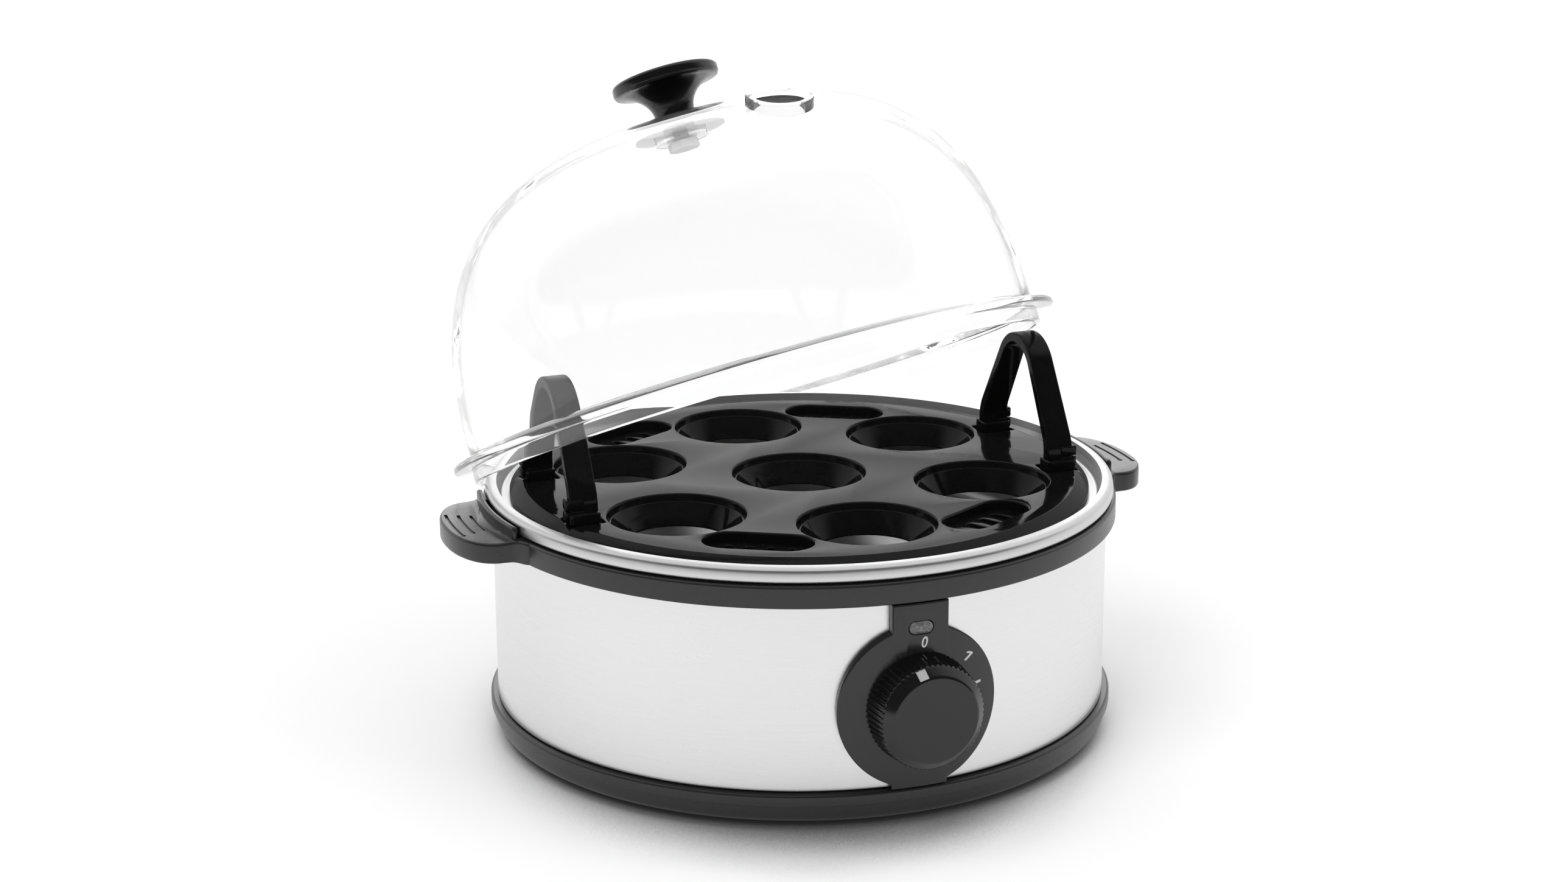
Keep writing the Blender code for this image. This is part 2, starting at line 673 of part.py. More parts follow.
def wall_shell():
    """Make the steel band, with the holes behind the panel and the one for the cord."""
    band = lathe([
        (WALL_RADIUS, WALL_BOTTOM), (WALL_RADIUS, WALL_TOP),
        (WALL_INNER, WALL_TOP), (WALL_INNER, WALL_BOTTOM),
    ])
    low = BRACKET_FRONT
    high = WALL_RADIUS + OVERRUN
    shaft_hole = front(rod(SHAFT_RADIUS + FIT_PLAY + GAP, low, high, CUP_SIDES), DIAL_HEIGHT)
    boss_holes = []
    for side in (-1, 1):
        hole = rod(PANEL_BOSS_RADIUS + FIT_PLAY, low, high, POST_SIDES)
        boss_holes.append(front(shifted(hole, x=side * PANEL_BOSS_PLACE), DIAL_HEIGHT))
    slot = prism(stadium(LENS_LENGTH + FIT_PLAY, LENS_WIDTH + FIT_PLAY), low, high)
    gland_hole = rod(GLAND_STEM_RADIUS + GAP, low, high, CUP_SIDES)
    return cut(band, shaft_hole, *boss_holes, front(slot, LENS_HEIGHT), back(gland_hole, GLAND_HEIGHT))


def front(mesh, height):
    """Turn a mesh so that its own Z runs out of the front, at a height."""
    return shifted(moved(mesh, FRONT_TURN), z=height)


def back(mesh, height):
    """Turn a mesh so that its own Z runs out of the back, at a height."""
    return shifted(moved(mesh, BACK_TURN), z=height)


def ear_outline():
    """Give the plan of the right ear as points about Z."""
    sides = [(share, -width) for share, width in EAR_SHAPE_SHARES]
    sides += [(share, width) for share, width in reversed(EAR_SHAPE_SHARES)]
    points = []
    for step in range(EAR_ROOT_STEPS + 1):
        points.append(at(WALL_RADIUS, EAR_HALF_ANGLE * (1 - 2 * step / EAR_ROOT_STEPS)))
    for share, width in sides:
        points.append(at(BASE_RADIUS + EAR_REACH * share, EAR_HALF_ANGLE * width))
    return points


def fence_outline():
    """Give the section of the fence that stands between an ear and the rim."""
    top = EAR_TOP + FENCE_RISE
    outer = BASE_RADIUS + FENCE_WIDTH
    root = EAR_TOP - EAR_THICKNESS / 2
    return rounded([
        (BASE_RADIUS, root),
        (BASE_RADIUS, top, FENCE_ROUND),
        (outer, top, FENCE_ROUND),
        (outer, EAR_TOP + FENCE_FOOT_RISE),
        (outer + FENCE_FOOT, EAR_TOP),
        (outer + FENCE_FOOT, root),
    ])


def section(inner, outer, low, high):
    """Give a plain rectangular section of radius and height."""
    return [(inner, low), (outer, low), (outer, high), (inner, high)]


def upper_collar():
    """Make the plastic ring above the wall, with both ears and the four legs."""
    body = lathe(rounded([
        (BASE_RADIUS, COLLAR_BOTTOM),
        (BASE_RADIUS, COLLAR_TOP, EDGE_ROUND),
        (COLLAR_SEAT_RADIUS, COLLAR_TOP),
        (COLLAR_SEAT_RADIUS - GAP, COLLAR_FLANGE_TOP),
        (seal_outer() + GAP, COLLAR_FLANGE_TOP),
        (seal_outer() + GAP, seal_bottom() - GAP),
        (seal_inner() - GAP, seal_bottom() - GAP),
        (seal_inner() - GAP, COLLAR_FLANGE_TOP),
        (COLLAR_INNER, COLLAR_FLANGE_TOP),
        (COLLAR_INNER, COLLAR_FLANGE_BOTTOM),
        (UPSTAND_INNER, COLLAR_FLANGE_BOTTOM),
        (UPSTAND_INNER, DOWNSTAND_BOTTOM),
        (UPSTAND_OUTER, DOWNSTAND_BOTTOM),
        (UPSTAND_OUTER, COLLAR_BOTTOM),
    ]))
    ears = []
    fences = []
    tools = []
    groove_floor = EAR_TOP - GROOVE_DEPTH
    for middle in (0.0, math.pi):
        ears.append(turned(prism(ear_outline(), COLLAR_BOTTOM, EAR_TOP), middle))
        fences.append(sector(fence_outline(), FENCE_HALF_ANGLE, middle))
        slot = section(BASE_RADIUS - SLOT_WIDTH, BASE_RADIUS, COLLAR_TOP - SLOT_DEPTH, COLLAR_TOP + OVERRUN)
        tools.append(sector(slot, SLOT_HALF_ANGLE, middle))
        for index, half_angle in enumerate(GROOVE_HALF_ANGLES):
            centre = BASE_RADIUS + GROOVE_FIRST + GROOVE_PITCH * index
            inner = centre - GROOVE_WIDTH / 2
            groove = section(inner, inner + GROOVE_WIDTH, groove_floor, EAR_TOP + OVERRUN)
            tools.append(sector(groove, half_angle, middle))
    leg_bottom = POST_TOP + GAP
    leg_top = COLLAR_FLANGE_BOTTOM + COLLAR_FLANGE * LEG_ROOT_SHARE
    legs = []
    for angle in around(POST_COUNT, math.pi / POST_COUNT):
        leg = rod(LEG_RADIUS, leg_bottom, leg_top, POST_SIDES)
        legs.append(shifted(leg, *at(POST_PLACE, angle)))
        hole = rod(SCREW_RADIUS + GAP, leg_bottom - OVERRUN, leg_bottom + LEG_HOLE_DEPTH)
        tools.append(shifted(hole, *at(POST_PLACE, angle)))
    reach = LENS_SOCKET_RADIUS + FIT_PLAY
    notch = block(
        (-reach, -UPSTAND_OUTER - OVERRUN, DOWNSTAND_BOTTOM - OVERRUN),
        (reach, -WALL_RADIUS + LENS_SOCKET_LENGTH + OVERRUN, LENS_HEIGHT + reach),
    )
    tools.append(notch)
    return cut(fused(fused(fused(body, *ears), *fences), *legs), *tools)


def seal_outer():
    """Give the outer radius of the seal under the bowl's ledge."""
    return COLLAR_SEAT_RADIUS - GAP - SEAL_INSET - GAP


def seal_inner():
    """Give the inner radius of the seal."""
    return seal_outer() - SEAL_WIDTH


def seal_bottom():
    """Give the height of the seal's underside."""
    return COLLAR_FLANGE_TOP - SEAL_HEIGHT


def bowl():
    """Press the steel bowl: rolled rim, ledge for the tray, wall and floor."""
    fold = CREST_RADIUS + BOWL_SHEET
    ledge_bottom = LEDGE_TOP - BOWL_SHEET
    bead = []
    lining = []
    for out, up in RIM_BEAD_SHARES:
        bead.append((CREST_RADIUS + RIM_FOLD * out, LIP_BOTTOM + RIM_HEIGHT * up))
        inner_rise = (RIM_HEIGHT - BOWL_SHEET) * up
        lining.append((CREST_RADIUS + (RIM_FOLD - BOWL_SHEET) * out, LIP_BOTTOM + inner_rise))
    body = lathe(rounded([
        (0, BOWL_FLOOR_TOP),
        (BOWL_FOOT_RADIUS, BOWL_FLOOR_TOP, BOWL_ROUND),
        (LEDGE_INNER, LEDGE_TOP, EDGE_ROUND),
        (LEDGE_OUTER, LEDGE_TOP, EDGE_ROUND),
        (CREST_RADIUS - RIM_LEAN * RIM_BEND_SHARE, (LEDGE_TOP + RIM_TOP) / 2),
        (CREST_RADIUS, RIM_TOP),
        *bead,
        *lining[::-1],
        (fold - GAP / 2, LIP_BOTTOM + RIM_HOLLOW),
        (LEDGE_OUTER + BOWL_SHEET, ledge_bottom),
        (LEDGE_INNER + BOWL_SHEET, ledge_bottom),
        (BOWL_FOOT_RADIUS + BOWL_SHEET, BOWL_FLOOR_BOTTOM, BOWL_ROUND + BOWL_SHEET),
        (0, BOWL_FLOOR_BOTTOM),
    ]))
    notches = []
    for middle in (0.0, math.pi):
        notch = section(fold, RIM_RADIUS + OVERRUN, LIP_BOTTOM - OVERRUN, LIP_BOTTOM + BOWL_NOTCH)
        notches.append(sector(notch, SLOT_HALF_ANGLE, middle))
    return cut(body, *notches)


def bowl_seal():
    """Make the silicone ring between the ledge and the collar."""
    return lathe(section(seal_inner(), seal_outer(), seal_bottom(), COLLAR_FLANGE_TOP))


def heater_plate():
    """Cast the plate under the bowl, with the stud that holds the clamp."""
    plate = rod(PLATE_RADIUS, PLATE_BOTTOM, PLATE_TOP, RING_SIDES)
    stud = rod(STUD_RADIUS, NUT_BOTTOM - STUD_TIP, PLATE_BOTTOM + PLATE_THICKNESS / 2)
    return fused(plate, stud)


def element_path():
    """Give the centre line of the heating tube, up, round and down again."""
    first = ELEMENT_OPENING / 2
    low = ELEMENT_HEIGHT - ELEMENT_DROP
    points = []
    for step in range(ELEMENT_STEPS + 1):
        angle = first + (2 * math.pi - ELEMENT_OPENING) * step / ELEMENT_STEPS
        x, y = at(ELEMENT_RADIUS, angle + math.pi / 2)
        points.append(Vector((x, y, ELEMENT_HEIGHT)))
    for end, neighbour in ((0, 1), (-1, -2)):
        out = (points[end] - points[neighbour]).normalized()
        bend = []
        start = points[end].copy()
        for step in range(1, ELEMENT_BEND_STEPS + 1):
            angle = math.pi / 2 * step / ELEMENT_BEND_STEPS
            forward = out * (ELEMENT_BEND * math.sin(angle))
            down = Vector((0, 0, -ELEMENT_BEND * (1 - math.cos(angle))))
            bend.append(start + forward + down)
        bend.append(Vector((bend[-1].x, bend[-1].y, low)))
        points = bend[::-1] + points if end == 0 else points + bend
    return points


def pipe(points, radius, sides):
    """Sweep a circle along a path of points."""
    rings = []
    normal = None
    for index, point in enumerate(points):
        before = points[max(index - 1, 0)]
        after = points[min(index + 1, len(points) - 1)]
        along = (after - before).normalized()
        if normal is None:
            normal = along.orthogonal().normalized()
        normal = (normal - along * normal.dot(along)).normalized()
        across = along.cross(normal)
        ring = []
        for angle in around(sides):
            ring.append(point + normal * (radius * math.cos(angle)) + across * (radius * math.sin(angle)))
        rings.append(ring)
    return loft(rings)


def element_clamp():
    """Make the bar that holds the heating tube up against the plate."""
    reach = ELEMENT_RADIUS + ELEMENT_TUBE + CLAMP_OVERHANG
    bar = prism(stadium(2 * reach, CLAMP_WIDTH), CLAMP_BOTTOM, CLAMP_TOP)
    return cut(bar, rod(STUD_RADIUS + GAP, CLAMP_BOTTOM - OVERRUN, CLAMP_TOP + OVERRUN))


def bored_nut(radius, bore, low, high):
    """Make a hexagon nut with a round bore."""
    return cut(rod(radius, low, high, HEXAGON), rod(bore, low - OVERRUN, high + OVERRUN, POST_SIDES))


def thermostat():
    """Make the snap disc thermostat that cuts the heater off when the bowl runs dry."""
    top = PLATE_BOTTOM - GAP
    middle = top - THERMOSTAT_CAP
    bottom = middle - THERMOSTAT_BODY
    body = lathe([
        (0, bottom), (THERMOSTAT_BODY_RADIUS, bottom), (THERMOSTAT_BODY_RADIUS, middle),
        (THERMOSTAT_RADIUS, middle), (THERMOSTAT_RADIUS, top), (0, top),
    ], CUP_SIDES)
    tabs = []
    for side in (-1, 1):
        near = side * (THERMOSTAT_BODY_RADIUS / 2)
        low = (near - TAB_THICKNESS / 2, -TAB_WIDTH / 2, bottom - TAB_LENGTH)
        high = (near + TAB_THICKNESS / 2, TAB_WIDTH / 2, bottom + THERMOSTAT_BODY / 2)
        tabs.append(block(low, high))
    return shifted(fused(body, *tabs), y=THERMOSTAT_OFFSET)


def thermal_fuse():
    """Make the one-shot fuse that lies against the plate."""
    half = FUSE_LENGTH / 2
    body = lathe([
        (0, -half), (FUSE_RADIUS / 2, -half), (FUSE_RADIUS, FUSE_TIP - half),
        (FUSE_RADIUS, half - FUSE_TIP), (FUSE_RADIUS / 2, half), (0, half),
    ], PIN_SIDES)
    lying = moved(body, Matrix.Rotation(math.pi / 2, 4, 'Y'))
    return shifted(lying, y=-THERMOSTAT_OFFSET, z=PLATE_BOTTOM - GAP - FUSE_RADIUS)


def panel_outline():
    """Give the keyhole plan of the control panel, seen from the front."""
    half_neck = PANEL_NECK_WIDTH / 2
    start = math.acos(half_neck / PANEL_CIRCLE)
    right = []
    for step in range(DIAL_ARC_STEPS + 1):
        angle = -start + 2 * start * step / DIAL_ARC_STEPS
        x, z = at(PANEL_CIRCLE, angle)
        right.append((x, DIAL_HEIGHT + z))
    right = [(half_neck, WALL_BOTTOM)] + right + [(half_neck, WALL_TOP)]
    return right + [(-x, z) for x, z in reversed(right)]


def control_panel():
    """Make the curved keyhole panel with its two screw bosses."""
    skin = lathe(section(PANEL_INNER, PANEL_OUTER, WALL_BOTTOM - OVERRUN, WALL_TOP + OVERRUN))
    keyhole = front(prism(panel_outline(), WALL_RADIUS - PANEL_CIRCLE, PANEL_OUTER + OVERRUN), 0.0)
    plate = combined(skin, keyhole, 'INTERSECT')
    bosses = []
    tools = []
    boss_back = BRACKET_FRONT + GAP
    boss_root = math.sqrt(PANEL_INNER ** 2 - PANEL_BOSS_PLACE ** 2) + PANEL_SHEET / 2
    hole_top = boss_back + BRACKET_SCREW_REACH
    for side in (-1, 1):
        boss = rod(PANEL_BOSS_RADIUS, boss_back, boss_root, POST_SIDES)
        bosses.append(front(shifted(boss, x=side * PANEL_BOSS_PLACE), DIAL_HEIGHT))
        hole = rod(BRACKET_SCREW_RADIUS + GAP, boss_back - OVERRUN, hole_top)
        tools.append(front(shifted(hole, x=side * PANEL_BOSS_PLACE), DIAL_HEIGHT))
    low = WALL_RADIUS - PANEL_SHEET
    high = PANEL_OUTER + OVERRUN
    tools.append(front(rod(SHAFT_RADIUS + FIT_PLAY, low, high, CUP_SIDES), DIAL_HEIGHT))
    tools.append(front(prism(stadium(LENS_LENGTH, LENS_WIDTH), low, high), LENS_HEIGHT))
    return cut(fused(plate, *bosses), *tools)


def lamp_lens():
    """Make the clear lens in the panel, with the socket of the lamp behind it."""
    front_face = PANEL_OUTER + LENS_PROUD
    socket_front = UPSTAND_OUTER
    socket_back = socket_front - LENS_SOCKET_LENGTH
    window = prism(stadium(LENS_LENGTH - 2 * GAP, LENS_WIDTH - 2 * GAP), socket_front - OVERRUN, front_face)
    socket = rod(LENS_SOCKET_RADIUS, socket_back, socket_front, POST_SIDES)
    bore = rod(LAMP_RADIUS + GAP, socket_back - OVERRUN, socket_front - OVERRUN, PIN_SIDES)
    return front(cut(fused(window, socket), bore), LENS_HEIGHT)


def indicator_lamp():
    """Make the small neon lamp that sits in the lens."""
    tip = UPSTAND_OUTER - OVERRUN - GAP
    return front(lathe([
        (0, tip - LAMP_LENGTH), (LAMP_RADIUS, tip - LAMP_LENGTH),
        (LAMP_RADIUS, tip - LAMP_RADIUS), (LAMP_RADIUS / 2, tip), (0, tip),
    ], PIN_SIDES), LENS_HEIGHT)


def regulator_body():
    """Make the energy regulator behind the dial, with its threaded bush."""
    half_width = REGULATOR_WIDTH / 2
    half_height = REGULATOR_HEIGHT / 2
    body = block(
        (-half_width, -half_height, REGULATOR_FRONT - REGULATOR_DEPTH),
        (half_width, half_height, REGULATOR_FRONT),
    )
    bush = rod(BUSH_RADIUS, REGULATOR_FRONT - OVERRUN, WALL_INNER - BUSH_TIP, POST_SIDES)
    bore = rod(SHAFT_RADIUS + GAP, REGULATOR_FRONT - SHAFT_SEAT, WALL_RADIUS, POST_SIDES)
    tabs = []
    for side in (-1, 1):
        near = side * half_width / 2
        back_face = REGULATOR_FRONT - REGULATOR_DEPTH
        low = (near - TAB_WIDTH / 2, -TAB_THICKNESS / 2, back_face - TAB_LENGTH)
        high = (near + TAB_WIDTH / 2, TAB_THICKNESS / 2, back_face + OVERRUN)
        tabs.append(block(low, high))
    return front(cut(fused(body, bush, *tabs), bore), DIAL_HEIGHT)


def regulator_bracket():
    """Make the plate that carries the regulator on the panel's bosses."""
    half = PANEL_BOSS_PLACE + BRACKET_MARGIN
    plate = block((-half, -BRACKET_HEIGHT / 2, BRACKET_BACK), (half, BRACKET_HEIGHT / 2, BRACKET_FRONT))
    low = BRACKET_BACK - OVERRUN
    high = BRACKET_FRONT + OVERRUN
    holes = [rod(BUSH_RADIUS + GAP, low, high, POST_SIDES)]
    for side in (-1, 1):
        holes.append(shifted(rod(BRACKET_SCREW_RADIUS + GAP, low, high), x=side * PANEL_BOSS_PLACE))
    return front(cut(plate, *holes), DIAL_HEIGHT)


def dial_knob():
    """Make the ribbed dial, in a frame whose Z is the dial's axis."""
    edge = DIAL_FRONT - DIAL_CHAMFER
    rings = [
        ribbed_ring(DIAL_BASE_RADIUS, DIAL_BACK),
        ribbed_ring(DIAL_EDGE_RADIUS, edge),
        [(*at(DIAL_FACE_RADIUS, angle), DIAL_FRONT) for angle in around(RIB_POINTS * DIAL_RIBS)],
    ]
    bore = rod(SHAFT_RADIUS + GAP, DIAL_BACK - OVERRUN, DIAL_BACK + DIAL_BORE_DEPTH, POST_SIDES)
    return cut(loft(rings), bore, pointer_shape(GAP, OVERRUN))


def ribbed_ring(radius, height):
    """Give a ring of points that steps in and out with the dial's ribs."""
    points = []
    for index, angle in enumerate(around(RIB_POINTS * DIAL_RIBS)):
        depth = 0 if index % RIB_POINTS < RIB_POINTS / 2 else DIAL_RIB_DEPTH
        points.append((*at(radius - depth, angle), height))
    return points


def pointer_shape(margin, overrun):
    """Make the pointer on the dial's chamfer, or with a margin the pocket that it sits in."""
    half = POINTER_WIDTH / 2 + margin
    rim = DIAL_FRONT - DIAL_CHAMFER
    proud = overrun if margin else 0
    inner = DIAL_FACE_RADIUS - margin
    low_edge = DIAL_EDGE_RADIUS + proud
    profile = [
        (inner, DIAL_FRONT - POINTER_DEPTH - margin),
        (DIAL_FACE_RADIUS, DIAL_FRONT - POINTER_DEPTH - DIAL_CHAMFER / 2 - margin),
        (low_edge, rim - POINTER_DEPTH - margin),
        (low_edge, rim + proud),
        (DIAL_FACE_RADIUS + proud, DIAL_FRONT + proud),
        (inner, DIAL_FRONT + proud),
    ]
    rings = [[(side * half, radius, height) for radius, height in profile] for side in (-1, 1)]
    return turned(loft(rings), POINTER_ANGLE)


def regulator_shaft():
    """Make the shaft from the regulator to the dial, with its flat."""
    low = REGULATOR_FRONT - SHAFT_SEAT + GAP
    high = DIAL_BACK + DIAL_BORE_DEPTH - GAP
    shaft = rod(SHAFT_RADIUS, low, high, POST_SIDES)
    flat = block(
        (-SHAFT_RADIUS - OVERRUN, SHAFT_RADIUS - SHAFT_FLAT, DIAL_BACK),
        (SHAFT_RADIUS + OVERRUN, SHAFT_RADIUS + OVERRUN, high + OVERRUN),
    )
    return cut(shaft, flat)


def terminal_block():
    """Make the block that joins the supply to the inner wiring."""
    bottom = FLOOR_TOP + TERMINAL_BOSS_HEIGHT + GAP
    top = bottom + TERMINAL_HEIGHT
    body = block(
        (-TERMINAL_LENGTH / 2, -TERMINAL_WIDTH / 2, bottom),
        (TERMINAL_LENGTH / 2, TERMINAL_WIDTH / 2, top),
    )
    holes = [rod(BRACKET_SCREW_RADIUS + GAP, bottom - OVERRUN, top + OVERRUN)]
    for index in range(TERMINAL_POLES):
        x = TERMINAL_POLE_PITCH * (index - (TERMINAL_POLES - 1) / 2)
        pole = rod(TERMINAL_POLE_RADIUS, -TERMINAL_WIDTH, TERMINAL_WIDTH)
        holes.append(shifted(moved(pole, FRONT_TURN), x=x, z=(bottom + top) / 2))
    return shifted(cut(body, *holes), y=TERMINAL_PLACE)


def cord_gland():
    """Make the bush in the back wall that the supply cord would pass."""
    outer_face = WALL_RADIUS + GAP
    inner_face = UPSTAND_OUTER - GAP
    return back(lathe([
        (GLAND_BORE, inner_face - GLAND_FLANGE / 2),
        (GLAND_RADIUS, inner_face - GLAND_FLANGE / 2),
        (GLAND_RADIUS, inner_face),
        (GLAND_STEM_RADIUS, inner_face),
        (GLAND_STEM_RADIUS, outer_face),
        (GLAND_RADIUS, outer_face),
        (GLAND_RADIUS - GLAND_FLANGE * GLAND_TAPER_SHARE, outer_face + GLAND_FLANGE),
        (GLAND_BORE, outer_face + GLAND_FLANGE),
    ], CUP_SIDES), GLAND_HEIGHT)


def seat_places():
    """Give the centres of the seven egg seats."""
    return [(0.0, 0.0)] + [at(SEAT_PITCH, angle - math.pi / 2) for angle in around(SEAT_COUNT)]


def egg_tray():
    """Mould the tray: bevelled deck, seven cups, steam recesses and handle wells."""
    deck = lathe([
        (0, DECK_BOTTOM),
        (TRAY_RADIUS - TRAY_BEVEL - TRAY_SHEET / 2, DECK_BOTTOM),
        (TRAY_RADIUS - TRAY_SHEET, TRAY_BOTTOM),
        (TRAY_RADIUS, TRAY_BOTTOM),
        (TRAY_RADIUS, TRAY_BOTTOM + TRAY_EDGE),
        (TRAY_RADIUS - TRAY_BEVEL, DECK_TOP),
        (0, DECK_TOP),
    ])
    root = DECK_TOP - TRAY_SHEET / 2
    cup_bottom = DECK_TOP - SEAT_DEPTH
    cup = [
        (0, cup_bottom), (SEAT_MOUTH + SEAT_WALL, cup_bottom),
        (SEAT_RADIUS + SEAT_WALL, root), (0, root),
    ]
    hollow = [
        (0, cup_bottom - OVERRUN), (SEAT_MOUTH, cup_bottom - OVERRUN), (SEAT_MOUTH, cup_bottom),
        (SEAT_RADIUS - SEAT_STEP, DECK_TOP - SEAT_STEP_DEPTH), (SEAT_RADIUS, DECK_TOP - SEAT_STEP_DEPTH),
        (SEAT_RADIUS, DECK_TOP + OVERRUN), (0, DECK_TOP + OVERRUN),
    ]
    added = [shifted(lathe(cup, CUP_SIDES), *place) for place in seat_places()]
    tools = [shifted(lathe(hollow, CUP_SIDES), *place) for place in seat_places()]
    floor = DECK_TOP - STEAM_DEPTH
    inside = stadium(STEAM_LENGTH, STEAM_WIDTH)
    outside = stadium(STEAM_LENGTH + 2 * STEAM_WALL, STEAM_WIDTH + 2 * STEAM_WALL)
    opening = stadium(STEAM_SLOT_LENGTH, STEAM_SLOT_WIDTH, STEAM_SLOT_END_STEPS)
    pans = []
    recesses = []
    slots = []
    for angle in STEAM_ANGLES:
        pan = prism(outside, floor - STEAM_WALL, root)
        recess = prism(inside, floor, DECK_TOP + OVERRUN)
        for shape, group in ((pan, pans), (recess, recesses)):
            group.append(turned(shifted(turned(shape, math.pi / 2), x=STEAM_PLACE), angle))
        for index in range(STEAM_SLOT_COUNT):
            offset = STEAM_SLOT_PITCH * (index - (STEAM_SLOT_COUNT - 1) / 2)
            slot = prism(opening, floor - STEAM_WALL - OVERRUN, floor + OVERRUN)
            slots.append(turned(shifted(slot, x=STEAM_PLACE, y=offset), angle))
    for side in (0.0, math.pi):
        for hand in (-1, 1):
            tools.append(turned(well(hand), side))
    body = fused(fused(deck, *added), *pans)
    body = cut(body, *tools)
    body = cut(body, *recesses)
    return cut(body, *slots, *screw_ways())


def well(hand):
    """Make the shallow recess that one foot of the right handle stands in."""
    half_width = HANDLE_PAD_WIDTH / 2 + WELL_MARGIN
    half_length = HANDLE_PAD_LENGTH / 2 + WELL_MARGIN
    centre = hand * pad_place()
    return block(
        (HANDLE_PLACE - half_width, centre - half_length, DECK_TOP - WELL_DEPTH),
        (HANDLE_PLACE + half_width, centre + half_length, DECK_TOP + OVERRUN),
    )


def pad_place():
    """Give the distance of a handle's foot from the handle's middle."""
    return HANDLE_SPAN / 2 - HANDLE_STRAP / 2


def screw_places():
    """Give the four places where screws come up through the tray into the handles."""
    return [(side * HANDLE_PLACE, hand * pad_place()) for side in (-1, 1) for hand in (-1, 1)]


def screw_ways():
    """Make the four holes in the deck for the handle screws."""
    ways = []
    for place in screw_places():
        way = rod(HANDLE_SCREW_RADIUS + GAP, DECK_BOTTOM - OVERRUN, DECK_TOP + OVERRUN)
        ways.append(shifted(way, *place))
    return ways


def handle_foot():
    """Give the height of the underside of a handle's feet."""
    return DECK_TOP - WELL_DEPTH + GAP


def handle_top():
    """Give the height of a handle's highest line."""
    return DECK_TOP + HANDLE_HEIGHT


def handle_outline():
    """Give the arch of a handle in its own plane, as (sideways, height)."""
    centre = handle_top() - HANDLE_ARC
    foot_height = handle_foot()
    edges = []
    for inset in (0, HANDLE_STRAP):
        radius = HANDLE_ARC - inset
        half_span = HANDLE_SPAN / 2 - inset
        reach = half_span - radius * math.cos(HANDLE_LEAN)
        corner = centre + radius * math.sin(HANDLE_LEAN) - reach / math.tan(HANDLE_LEAN)
        edge = [(half_span, foot_height), (half_span, corner)]
        for step in range(HANDLE_ARC_STEPS + 1):
            angle = HANDLE_LEAN + (math.pi - 2 * HANDLE_LEAN) * step / HANDLE_ARC_STEPS
            x, y = at(radius, angle)
            edge.append((x, centre + y))
        edge += [(-half_span, corner), (-half_span, foot_height)]
        edges.append(edge)
    return edges[0] + edges[1][::-1]


def tray_handle(middle):
    """Mould one tray handle with its feet and latch ribs, turned to its side."""
    half_width = HANDLE_WIDTH / 2
    strap = prism(handle_outline(), HANDLE_PLACE - half_width, HANDLE_PLACE + half_width)
    arch = moved(strap, SIDE_TURN)
    low = handle_foot()
    pads = []
    ribs = []
    holes = []
    for hand in (-1, 1):
        centre = hand * pad_place()
        half_pad = HANDLE_PAD_LENGTH / 2
        half_pad_width = HANDLE_PAD_WIDTH / 2
        pads.append(block(
            (HANDLE_PLACE - half_pad_width, centre - half_pad, low),
            (HANDLE_PLACE + half_pad_width, centre + half_pad, low + HANDLE_PAD_HEIGHT),
        ))
        half_strap = HANDLE_STRAP / 2
        for index in range(LATCH_COUNT):
            height = DECK_TOP + LATCH_FIRST + LATCH_PITCH * index
            ribs.append(block(
                (HANDLE_PLACE, centre - half_strap - GAP / 2, height - LATCH_HEIGHT / 2),
                (HANDLE_OUTER + LATCH_REACH, centre + half_strap + GAP / 2, height + LATCH_HEIGHT / 2),
            ))
        hole = rod(HANDLE_SCREW_RADIUS + GAP, low - OVERRUN, low + HANDLE_PAD_HEIGHT - GAP)
        holes.append(shifted(hole, x=HANDLE_PLACE, y=centre))
    body = fused(fused(arch, *pads), *ribs)
    return turned(cut(body, *holes), middle)


def handle_screw():
    """Make one screw that holds a handle's foot from below the deck."""
    reach = handle_foot() + HANDLE_PAD_HEIGHT - 2 * GAP - DECK_BOTTOM + GAP
    screw = headed_screw(HANDLE_SCREW_RADIUS, reach, HANDLE_SCREW_HEAD, HANDLE_SCREW_HEAD_HEIGHT)
    return shifted(screw, z=DECK_BOTTOM - GAP)


def dome_points(inset, steps):
    """Give points down the dome's profile, from its crown to its foot."""
    points = []
    for step in range(steps + 1):
        angle = math.pi / 2 * (1 - step / steps)
        radius = (LID_DOME_RADIUS - inset) * math.cos(angle) ** (2 / LID_SIDE_POWER)
        rise = (LID_RISE - inset) * math.sin(angle) ** (2 / LID_TOP_POWER)
        points.append((radius, LID_DOME_BASE + rise))
    return points


def dome_height(radius):
    """Give the dome's outer height at a distance from the lid's axis."""
    share = 1 - (radius / LID_DOME_RADIUS) ** LID_SIDE_POWER
    return LID_DOME_BASE + LID_RISE * share ** (1 / LID_TOP_POWER)


def vent_turn():
    """Give the frame of the steam vent, standing square on the dome."""
    step = VENT_PLACE * SLOPE_STEP_SHARE
    fall = dome_height(VENT_PLACE - step) - dome_height(VENT_PLACE + step)
    lean = math.atan2(fall, 2 * step)
    place = Matrix.Translation((VENT_PLACE, 0, dome_height(VENT_PLACE)))
    return Matrix.Rotation(VENT_AZIMUTH, 4, 'Z') @ place @ Matrix.Rotation(lean, 4, 'Y')


